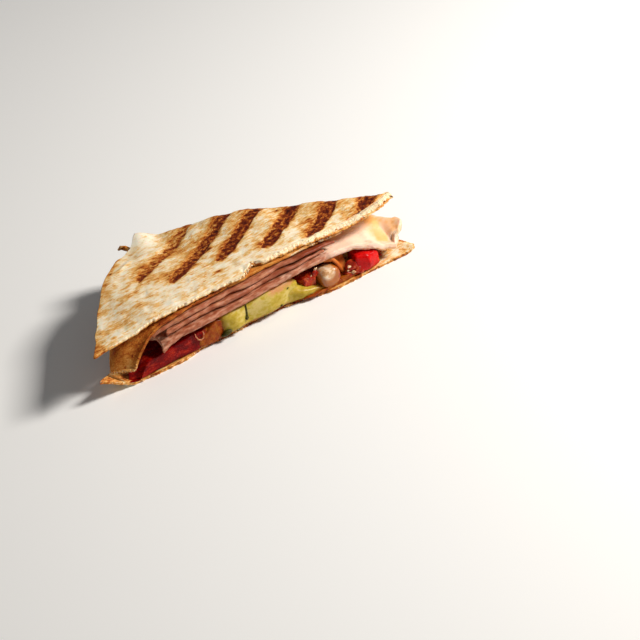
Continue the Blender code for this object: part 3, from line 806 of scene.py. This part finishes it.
def small_ham_finish(p, n, side):
    """Stained orange by the juice round it, most where it hangs."""
    hanging = ease((p.x - 33) / 6)
    return 0.0, 0.9, 0.35 - 0.3 * hanging + 0.25 * ripple(p.x, p.y, 3, 57), 0.4 + 0.4 * hanging


add_slice("thin_ham_upper", "ham_slice_1", slice_rows(
    upper_ham_middle, from_open_end(*UPPER_HAM_LEFT), from_fold(*UPPER_HAM_RIGHT), UPPER_HAM_FRONT,
    across=180, back_rows=44, seed=21, wobble=0.8,
), lambda x: through(x, THIN_HAM), upper_ham_finish)
add_slice("thin_ham_lower", "ham_slice_2", slice_rows(
    middle_ham_middle, from_open_end(*MIDDLE_HAM_LEFT), from_fold(*MIDDLE_HAM_RIGHT), MIDDLE_HAM_FRONT,
    across=180, back_rows=44, seed=31, wobble=0.8,
), lambda x: through(x, THIN_HAM), middle_ham_finish)
add_slice("thick_ham", "ham_slice_3", slice_rows(
    thick_ham_middle, from_open_end(*THICK_HAM_LEFT), lambda y: through(y, THICK_HAM_RIGHT), THICK_HAM_FRONT,
    across=260, back_rows=60, seed=41, wobble=0.7,
), lambda x: HAM_THICK, thick_ham_finish, steps=8)
add_slice("hanging_ham", "ham_slice_4", slice_rows(
    small_ham_middle, lambda y: SMALL_HAM_LEFT - 0.1 * y, lambda y: min(right_edge(y, 9), SMALL_HAM_RIGHT),
    SMALL_HAM_FRONT, across=76, back_rows=50, seed=51, wobble=0.5,
), lambda x: HAM_LOWER, small_ham_finish)

# The soft fillings on the lower sheet: a wide slice of tomato at the left, melted cheese in the middle, a
# small cooked piece of tomato and a drop of pale cheese right of it, and a piece of roasted red pepper at the
# right end.

TOMATO_HEIGHT = ((-60, 3.2), (-50, 6), (-30, 7.4))
TOMATO_RIGHT = -20
CHEESE_RIGHT, CHEESE_SWELL = 21.6, 2
CHEESE_LOBES = ((-12, 5.5), (6, 9))  # the middle and half width of each
CHUNK_RIGHT, CHUNK_WIDER, CHUNK_HEIGHT, CHUNK_HIGHER = 29, 13.5, 7.4, 2
DROP_LEFT, DROP_RIGHT, DROP_HEIGHT = 29.5, 39.3, 8.2
# Centre of the painted highlight on the drop of cheese, on the side that faces the camera.
PAINTED_HIGHLIGHT_X, PAINTED_HIGHLIGHT_Z = 33, 9
PEPPER_LEFT, PEPPER_RIGHT, PEPPER_HEIGHT = 48, 59, 8
PEPPER_RIDGE, PEPPER_RIDGE_AT, PEPPER_RIDGE_WIDTH = 2.4, 52.2, 6
BETWEEN_LUMPS = 0.8


def lump_form(cuts, left, right, front, back, ceiling, squareness, relief, bulge=lambda x: 0, sink=0.5 * GAP):
    """A rounded block on the lower sheet. left and right are functions of y, and ceiling of x and y."""
    ring = [-1 + 2 * k / (cuts + 1) for k in range(cuts + 2)]
    points, faces, index = [], [], {}

    def corner(c):
        key = tuple(round(v, 6) for v in c)
        if key not in index:
            index[key] = len(points)
            size = sum(abs(v) ** squareness for v in c) ** (1 / squareness)
            across, onward, up = ((v / size + 1) / 2 for v in c)
            y = front + (back - front) * onward**1.5
            x = left(y) + (right(y) - left(y)) * across
            y -= bulge(x) * max(0.0, 1 - 2 * onward) * arch(up) ** 0.5
            low, high = sheet_floor(x, y) - sink, ceiling(x, y)
            p = Vector((x, y, low + (high - low) * up))
            out = Vector((across - 0.5, onward - 0.5, up - 0.5)).normalized()
            points.append(p + out * relief(p))
        return index[key]

    for axis in range(3):
        for end in (-1, 1):
            for a0, a1 in zip(ring, ring[1:]):
                for b0, b1 in zip(ring, ring[1:]):
                    square = []
                    for a, b in ((a0, b0), (a1, b0), (a1, b1), (a0, b1)):
                        c = [0.0, 0.0, 0.0]
                        c[axis], c[(axis + 1) % 3], c[(axis + 2) % 3] = end, a, b
                        square.append(corner(c))
                    faces.append(square if end > 0 else square[::-1])
    return points, faces


def wet_look(name, stops, spot_size, roughness, depth, stretch=(1, 1, 1), tints=None, shine=0.12, mottled=1):
    """A glossy soft filling, mottled between the colours of stops, that lets light in to this depth.

    tints are colours by label: where a point value of that label is high, the colour takes over. mottled is
    how strong the spots are.
    """
    made, tree, place = new_look(name)
    spots = mottle(tree, place, spot_size, 4, stretch, 6)
    fine = mottle(tree, place, spot_size / 5, 3, stretch, 8)
    base = shades(tree, total(tree, 0.5, (spots, 1.2 * mottled, 0.5), (fine, 0.6 * mottled, 0.5)), stops)
    colour = tinted(tree, base, tints or {}, spots, fine, 0.8, 0.15)
    finish_look(tree, colour, total(tree, roughness, (fine, 0.5, 0.5)), fine, 0.35, 0.3, {
        "Specular IOR Level": shine, "Coat Weight": 0.7 * shine, "Coat Roughness": 0.12,
        "Subsurface Weight": 0.3, "Subsurface Radius": (1, 0.5, 0.25), "Subsurface Scale": depth * MM,
    })
    return made


# The orange-brown of tomato juice. Its point value marks real juice stains on the tomato and the cheese, and
# painted shade round the painted highlight of the drop of cheese.
STAIN = (0.40, 0.11, 0.008)
tomato_look = wet_look("wet tomato", (
    (0.3, (0.11, 0.001, 0.001)), (0.5, (0.20, 0.001, 0.001)), (0.74, (0.38, 0.014, 0.004)),
), spot_size=2.4, roughness=0.25, depth=1.5, stretch=(1.6, 1, 0.7), tints={"stain": STAIN}, shine=0.1)
cheese_look = wet_look("melted cheese", (
    (0.3, (0.36, 0.24, 0.010)), (0.5, (0.51, 0.37, 0.05)), (0.66, (0.68, 0.55, 0.20)),
), spot_size=6, roughness=0.3, depth=3, stretch=(1.4, 1, 1), mottled=0.6, tints={
    "pink": (0.58, 0.27, 0.11), "stain": (0.32, 0.12, 0.004),
})
pale_cheese_look = wet_look("pale melted cheese", (
    (0.3, (0.50, 0.24, 0.09)), (0.5, (0.66, 0.39, 0.19)), (0.68, (0.84, 0.70, 0.52)),
), spot_size=2.4, roughness=0.14, depth=2, shine=0.5, tints={"stain": STAIN, "red": (0.26, 0.014, 0.004)})
chunk_look = wet_look("cooked tomato", (
    (0.3, (0.22, 0.004, 0.002)), (0.5, (0.36, 0.018, 0.005)), (0.7, (0.50, 0.08, 0.015)),
), spot_size=1.5, roughness=0.16, depth=1.5, shine=0.2)
pepper_look = wet_look("red pepper", (
    (0.3, (0.44, 0.002, 0.002)), (0.5, (0.56, 0.003, 0.003)), (0.7, (0.62, 0.004, 0.003)),
), spot_size=3, roughness=0.25, depth=1.2)


def soft(size, height, seed):
    """Relief of a soft filling."""
    return lambda p: height * grain(p, size, seed) + 0.25 * height * grain(p, size / 3, seed + 1)


def tomato_right(y):
    return TOMATO_RIGHT - 0.12 * y


def cheese_right(y):
    return CHEESE_RIGHT - 0.2 * y - 8 * ease((y - 18) / 26)


def cheese_bulge(x):
    """The melted cheese swells out of the cut in two lobes."""
    return CHEESE_SWELL * max(hump(x, middle, half) for middle, half in CHEESE_LOBES)


def chunk_right(y):
    """The cooked tomato reaches round behind the drop of cheese."""
    return CHUNK_RIGHT + CHUNK_WIDER * ease((y - 5) / 3)


def chunk_ceiling(x, y):
    height = CHUNK_HEIGHT + CHUNK_HIGHER * ease((x - 31) / 4)
    return min(under_small_ham(x, y), sheet_floor(x, y) + height)


def pepper_ridge(x):
    """The pepper was diced, and one of its corners points to the front."""
    return PEPPER_RIDGE * max(0.0, 1 - abs(x - PEPPER_RIDGE_AT) / PEPPER_RIDGE_WIDTH)


add_piece("tomato_wedge", lump_form(
    cuts=44, left=lambda y: left_edge(y, 8) - BETWEEN_LUMPS, right=tomato_right, front=-0.5, back=33,
    ceiling=lambda x, y: min(under_thick_ham(x, y), sheet_floor(x, y) + through(x, TOMATO_HEIGHT)),
    squareness=8, relief=soft(4, 0.35, 101),
), tomato_look, "tomato", "tomato_slice", stain=lambda p: 0.8 * ease((p.x + 27) / 5))
add_piece("melted_cheese_layer", lump_form(
    cuts=52, left=lambda y: tomato_right(y) + BETWEEN_LUMPS, right=cheese_right, front=-1, back=46,
    ceiling=under_thick_ham, squareness=6, relief=soft(6, 0.3, 103), bulge=cheese_bulge,
), cheese_look, "cheese", "melted_cheese",
          pink=lambda p: 0.75 * ease((p.x - 2) / 8) * ease((p.z - 8) / 3),
          stain=lambda p: max(0.85 * ease((-14 - p.x) / 4), 0.9 * ease((4.2 - p.z) / 2.6)))
add_piece("cooked_tomato_piece", lump_form(
    cuts=30, left=lambda y: cheese_right(y) + BETWEEN_LUMPS, right=chunk_right, front=-1.6, back=17,
    ceiling=chunk_ceiling, squareness=5, relief=soft(2.4, 0.6, 105),
), chunk_look, "tomato", "tomato_chunk")
add_piece("cheese_drop", lump_form(
    cuts=34, left=lambda y: DROP_LEFT, right=lambda y: DROP_RIGHT, front=-5.4, back=4.6,
    ceiling=lambda x, y: min(under_small_ham(x, y), sheet_floor(x, y) + DROP_HEIGHT),
    squareness=2.6, relief=soft(5, 0.2, 107),
), pale_cheese_look, "cheese", "cheese_blob",
          # The drop is orange-brown: its real colour low down, painted shade at its rim, and pale only in the
          # painted highlight.
          stain=lambda p: 0.95 * ease((math.hypot(p.x - PAINTED_HIGHLIGHT_X, p.z - PAINTED_HIGHLIGHT_Z) - 1.6) / 3.2),
          red=lambda p: 0.8 * ease((p.x - 36.2) / 3))
add_piece("pepper_piece", lump_form(
    cuts=34, left=lambda y: PEPPER_LEFT + 0.25 * y, right=lambda y: PEPPER_RIGHT + 0.1 * y, front=-4.8,
    back=6, ceiling=lambda x, y: min(under_thick_ham(x, y) + HAM_LOWER, sheet_floor(x, y) + PEPPER_HEIGHT),
    squareness=8, relief=soft(5, 0.15, 109), bulge=pepper_ridge,
), pepper_look, "red_pepper", "red_pepper")

# Sauce and herbs: orange tomato juice pooled on the lower sheet, melted cheese that ran out under the cooked
# tomato, bits of cheese and tomato caught in them, a curl of tomato skin, and chopped herb in the cheese.

POOL_LEFT, POOL_RIGHT, POOL_SINK = 20.5, 60, 1.1 * GAP
JUICE_BETWEEN_LEFT, JUICE_BETWEEN_RIGHT = -29, -14.5
FOOT_LEFT, FOOT_RIGHT, FOOT_SINK = 8, 37, 0.9 * GAP
# Bits: place and half size.
TOMATO_BITS = (
    (45.6, -3.0, 5.6, 2.5), (47.6, -4.6, 3.0, 1.9), (43.2, -3.6, 2.8, 1.6), (28.8, -0.6, 8.2, 1.4),
    (62.6, 1.6, 3.0, 1.3), (61.2, -0.6, 2.4, 1.0),
)
CHEESE_BITS = (
    (44.8, -5.2, 3.6, 0.8), (43.4, -4.6, 6.6, 0.7), (42.6, -4.4, 5.0, 0.4), (28.6, -2.8, 12.0, 0.6),
    (26.4, -2.0, 9.4, 0.35), (67.0, 0.8, 3.9, 0.8), (65.2, 0.6, 3.2, 0.6), (69.0, 0.2, 4.4, 0.5),
    (66.4, -0.6, 3.6, 0.5),
)
# Strips on the front of the cheese or the tomato: x, z and radius along each.
HERBS = (
    (
        (-5.2, 12.4, 0.3), (-5.3, 10.6, 0.35), (-5.5, 8.4, 0.4), (-5.7, 6.6, 0.5), (-6.0, 5.4, 0.85),
        (-6.2, 4.4, 0.5),
    ),
    ((-18.8, 2.7, 0.5), (-17.4, 3.0, 1.0), (-16.2, 3.6, 1.3), (-14.9, 3.9, 0.9), (-14.0, 3.8, 0.4)),
    ((1.4, 1.9, 0.3), (2.2, 2.1, 0.4), (3.0, 2.0, 0.3)),
    ((9.6, 3.2, 0.2), (10.4, 3.4, 0.4), (11.0, 3.3, 0.2)),
    ((14.2, 8.8, 0.2), (14.8, 9.2, 0.3), (15.4, 9.2, 0.2)),
    ((-11.8, 2.4, 0.3), (-11.0, 2.2, 0.4), (-10.2, 2.3, 0.2)),
)
SKIN_CURL = (
    (-29.8, 9.6, 0.2), (-29.6, 7.8, 0.24), (-28.8, 6.2, 0.28), (-27.6, 5.5, 0.28), (-26.5, 6.0, 0.26),
    (-26.0, 7.6, 0.24), (-26.4, 9.2, 0.2),
)
SKIN_CURL_FRONT = -1.2


def tube_form(path, sides=10):
    """A closed, rounded strip along a path of (point, radius) pairs."""
    points, faces = [], []
    for k, (p, radius) in enumerate(path):
        way = (path[min(k + 1, len(path) - 1)][0] - path[max(k - 1, 0)][0]).normalized()
        across = way.cross(Vector((0, 1, 0.3))).normalized()
        up = across.cross(way)
        for s in range(sides):
            turn = 2 * math.pi * s / sides
            uneven = 1 + 0.25 * noise.noise(p / 0.9 + Vector((s, 0, 0)) * 0.7)
            points.append(p + (across * math.cos(turn) + up * math.sin(turn)) * radius * uneven)
    for k in range(len(path) - 1):
        for s in range(sides):
            t = (s + 1) % sides
            faces.append([k * sides + s, k * sides + t, (k + 1) * sides + t, (k + 1) * sides + s])
    faces.append(list(range(sides))[::-1])
    faces.append([(len(path) - 1) * sides + s for s in range(sides)])
    return points, faces


def smoothed(path, y_of, steps=4):
    """(point, radius) pairs along (x, z, radius) points, on the surface y_of(x, z), with thin ends."""
    pairs = []
    for (x0, z0, r0), (x1, z1, r1) in zip(path, path[1:]):
        for k in range(steps):
            t = k / steps
            x, z, r = (a + (b - a) * t for a, b in ((x0, x1), (z0, z1), (r0, r1)))
            pairs.append((Vector((x, y_of(x, z), z)), r))
    x, z, r = path[-1]
    pairs.append((Vector((x, y_of(x, z), z)), r * 0.3))
    return [(pairs[0][0], pairs[0][1] * 0.3)] + pairs[1:]


def gather(forms):
    """Several forms as one list of points and one of faces, none below the ground."""
    points, faces = [], []
    for more_points, more_faces in forms:
        faces += [[c + len(points) for c in face] for face in more_faces]
        points += [Vector((p.x, p.y, max(p.z, 0.0))) for p in more_points]
    return points, faces


def ball(subdivisions):
    """Points and faces of a unit ball."""
    builder = bmesh.new()
    bmesh.ops.create_icosphere(builder, subdivisions=subdivisions, radius=1)
    points = [v.co.copy() for v in builder.verts]
    faces = [[v.index for v in face.verts] for face in builder.faces]
    builder.free()
    return points, faces


def bit_form(bit):
    """A soft irregular bit."""
    centre, size = Vector(bit[:3]), bit[3]
    points, faces = ball(3)
    stretch = Vector((1.25, 0.7, 0.95)) * size
    uneven = [1 + 0.8 * grain(centre + p * size, 1.2 * size, 121) for p in points]
    return [centre + p * stretch * share for p, share in zip(points, uneven)], faces


def cheese_front(x, z):
    """The melted cheese's front face."""
    low, high = sheet_floor(x, 0), under_thick_ham(x, 0)
    return -1.1 - cheese_bulge(x) * arch((z - low) / (high - low)) ** 0.5


herb_look = wet_look("chopped herb", (
    (0.3, (0.03, 0.03, 0.004)), (0.5, (0.07, 0.06, 0.008)), (0.7, (0.14, 0.11, 0.02)),
), spot_size=1, roughness=0.3, depth=0.4)
sauce_look = wet_look("tomato juice", (
    (0.3, (0.19, 0.016, 0.002)), (0.5, (0.30, 0.058, 0.004)), (0.7, (0.42, 0.13, 0.012)),
), spot_size=1.8, roughness=0.22, depth=1.2, mottled=0.6)
skin_look = wet_look("tomato skin", (
    (0.3, (0.44, 0.12, 0.05)), (0.5, (0.58, 0.22, 0.10)), (0.7, (0.70, 0.34, 0.18)),
), spot_size=1, roughness=0.25, depth=0.8)


def pool_top(x, y):
    return sheet_floor(x, y) + 0.9 + 2.2 * hump(x, 48, 8) + 0.4 * ripple(x, y, 3, 111)


def juice_between_top(x, y):
    """The juice stands up between the tomato and the cheese."""
    return min(under_thick_ham(x, y), sheet_floor(x, y) + 4.6 + 4.4 * hump(x, -19, 5))


def foot_top(x, y):
    return sheet_floor(x, y) + 1.4 + 4.4 * ease((36 - x) / 20) + 0.4 * ripple(x, y, 3, 117)


add_piece("pooled_juice", gather((
    lump_form(
        cuts=34, left=lambda y: POOL_LEFT, right=lambda y: POOL_RIGHT, front=-4.9, back=8, ceiling=pool_top,
        squareness=4, relief=soft(2, 0.25, 113), sink=POOL_SINK,
    ),
    lump_form(
        cuts=24, left=lambda y: JUICE_BETWEEN_LEFT, right=lambda y: JUICE_BETWEEN_RIGHT, front=-1.1, back=6,
        ceiling=juice_between_top, squareness=3.4, relief=soft(2.4, 0.35, 115), sink=POOL_SINK,
    ),
)), sauce_look, "tomato")
add_piece("cheese_foot", lump_form(
    cuts=34, left=lambda y: FOOT_LEFT, right=lambda y: FOOT_RIGHT, front=-1.5, back=6, ceiling=foot_top,
    squareness=3, relief=soft(3, 0.3, 119), bulge=lambda x: 2.4 * ease((x - 13) / 9), sink=FOOT_SINK,
), cheese_look, "cheese", pink=lambda p: 0.0,
          stain=lambda p: 0.2 + 0.55 * ease((p.x - 22) / 9) + 0.5 * ease((3.4 - p.z) / 2))
add_piece("tomato_bits", gather(bit_form(bit) for bit in TOMATO_BITS), chunk_look, "tomato")
add_piece("cheese_bits", gather(bit_form(bit) for bit in CHEESE_BITS), pale_cheese_look, "cheese",
          stain=lambda p: 0.0, red=lambda p: 0.0)
add_piece("herb_bits", gather(tube_form(smoothed(path, cheese_front)) for path in HERBS), herb_look, "cheese")
skin_curl = tube_form(smoothed(SKIN_CURL, lambda x, z: SKIN_CURL_FRONT))
add_piece("tomato_skin_curl", skin_curl, skin_look, "tomato")

# Crumbs and flakes: dry chips of the dough that the knife tore along the upper sheet's edge, at the lap's hem
# and along the lower sheet, and a browned shred near the back corner.

random.seed(12)
CHIP_SPANS = ((0.9, 1.7), (0.6, 1.0), (0.25, 0.55))  # its length, width and thickness, for a size of 1
CHIPS_LEFT, CHIPS_RIGHT, CHIPS_DEPTH = -71, 73, 4.6
EDGE_CHIPS_LEFT, EDGE_CHIPS_DEPTH = -66, 0.9
SHRED = (
    ((-24.6, 62.6, 21.4), 0.4), ((-23.4, 62.2, 22.2), 0.9), ((-22.2, 60.6, 22.0), 1.1),
    ((-21.4, 58.2, 21.6), 0.9), ((-20.6, 55.6, 21.0), 0.6),
)


def chip_form(centre, size, away):
    """A flat irregular chip that lies roughly across the direction away."""
    points, faces = ball(1)
    sizes = Vector([size * random.uniform(*span) for span in CHIP_SPANS])
    tilt = Vector((random.uniform(-1, 1), random.uniform(-1, 1), 0.9))
    lie = away.to_track_quat("Z", "Y") @ tilt.to_track_quat("Z", "Y")
    turn = Matrix.Rotation(random.uniform(0, math.pi), 3, "Z")
    return [centre + lie @ (turn @ (p * sizes)) * random.uniform(0.7, 1.25) for p in points], faces


def chips(places, count, away, least, most):
    """Chips of these half sizes scattered over some of these places, small ones the most."""
    forms = []
    for _ in range(count):
        at = random.choice(places)
        size = least + (most - least) * random.random() ** 2.4
        forms.append(chip_form(at + away * size * 0.3, size, away))
    return forms


def rim_points(is_upper, left=-math.inf, right=math.inf):
    """Points of the upper or the lower sheet's cut edge, between left and right."""
    return [
        point for point, (p, n, side) in tortilla_points
        if abs(side) < 1 and CHIPS_LEFT < p.x < CHIPS_RIGHT and p.y < CHIPS_DEPTH
        and (p.z > BETWEEN_SHEETS) == is_upper and left < point.x < right
    ]


near_edge = [
    point for point, (p, n, side) in tortilla_points
    if side == 1 and p.z > BETWEEN_SHEETS and p.x > EDGE_CHIPS_LEFT
    and p.y - through(p.x, TOP_CUT) < EDGE_CHIPS_DEPTH
]
to_front, to_front_below = Vector((0, -0.9, 0.3)), Vector((0, -0.9, -0.2))
crumbs = []
for places, count, away, least, most in (
    (rim_points(True, right=-4), 16, to_front, 0.15, 0.35),
    (rim_points(True, left=2), 60, to_front, 0.12, 0.45),
    (rim_points(True, -4.5, 4.5), 50, to_front, 0.25, 0.8),
    (near_edge, 40, Vector((0, -0.3, 0.9)), 0.1, 0.25),
    (rim_points(False), 110, to_front_below, 0.12, 0.4),
    (hem_points, 110, Vector((-0.6, -0.6, -0.3)), 0.15, 0.55),
):
    crumbs += chips(places, count, away, least, most)
add_piece("dough_crumbs", gather(crumbs), toasted_dough, "tortilla", toast=lambda p: 0.34, mark=lambda p: 0.0,
          crumb=lambda p: 0.34 + 0.5 * grain(p, 2, 131))
shred = tube_form([(Vector(place), radius) for place, radius in SHRED])
add_piece("browned_shred", shred, toasted_dough, "tortilla", toast=lambda p: 0.5, mark=lambda p: 0.0,
          crumb=lambda p: 0.0)

# The setting: a pale floor, a warm soft key light from the right end that grazes the cut, weak fills, and the
# camera at the photograph's viewing angle, from the front left with a slight tilt. The floor and lights are
# placed in metres.

FLOOR_HALF = 1.5
FLOOR_COLOUR = (0.94, 0.95, 0.96, 1)
CAMERA_AIM = Vector((16.8, -19.0, 0))
CAMERA_AWAY = 777.1
CAMERA_TURN, CAMERA_RISE, CAMERA_TILT = math.radians(-30.10), math.radians(31.32), math.radians(-10.89)
LENS = 109.74
# Each light: its place, size, watts and colour.
LIGHTS = (
    ("key", (0.61, -0.36, 0.54), 0.22, 10.6, (1, 0.95, 0.88)),
    ("front fill", (-0.35, -0.75, 0.45), 0.7, 0.4, (1, 0.96, 0.9)),
    ("back fill", (-0.2, 0.8, 0.6), 0.6, 0.9, (1, 0.98, 0.95)),
)
SKY = 0.08

floor_mesh = bpy.data.meshes.new("floor")
corners = [(x * FLOOR_HALF, y * FLOOR_HALF, 0) for x, y in ((-1, -1), (1, -1), (1, 1), (-1, 1))]
floor_mesh.from_pydata(corners, [], [(0, 1, 2, 3)])
floor_look = bpy.data.materials.new("pale floor")
floor_look.use_nodes = True
floor_shader = floor_look.node_tree.nodes["Principled BSDF"]
for socket, value in (("Base Color", FLOOR_COLOUR), ("Roughness", 0.8), ("Specular IOR Level", 0.2)):
    floor_shader.inputs[socket].default_value = value
floor_mesh.materials.append(floor_look)
floor = bpy.data.objects.new("floor", floor_mesh)
bpy.context.scene.collection.objects.link(floor)

for name, place, size, watts, colour in LIGHTS:
    lamp = bpy.data.lights.new(name, "AREA")
    lamp.size = size
    lamp.energy = watts
    lamp.color = colour
    light = bpy.data.objects.new(name, lamp)
    light.location = place
    light.rotation_euler = (-Vector(place)).to_track_quat("-Z", "Y").to_euler()
    bpy.context.scene.collection.objects.link(light)

world = bpy.data.worlds.new("soft studio")
world.use_nodes = True
sky = world.node_tree.nodes["Background"].inputs
sky["Color"].default_value = (1, 0.99, 0.97, 1)
sky["Strength"].default_value = SKY
bpy.context.scene.world = world
bpy.context.scene.view_settings.view_transform = "Standard"

lens = bpy.data.cameras.new("camera")
lens.lens = LENS
lens.sensor_width = 36
lens.clip_start = 0.01
camera = bpy.data.objects.new("camera", lens)
away = Vector((
    math.sin(CAMERA_TURN) * math.cos(CAMERA_RISE), -math.cos(CAMERA_TURN) * math.cos(CAMERA_RISE),
    math.sin(CAMERA_RISE),
))
upright = away.to_track_quat("Z", "Y").to_matrix().to_4x4()
camera.matrix_world = (
    Matrix.Translation((CAMERA_AIM + CUT_TO_FRAME + away * CAMERA_AWAY) * MM) @ upright
    @ Matrix.Rotation(CAMERA_TILT, 4, "Z")
)
bpy.context.scene.collection.objects.link(camera)
bpy.context.scene.camera = camera
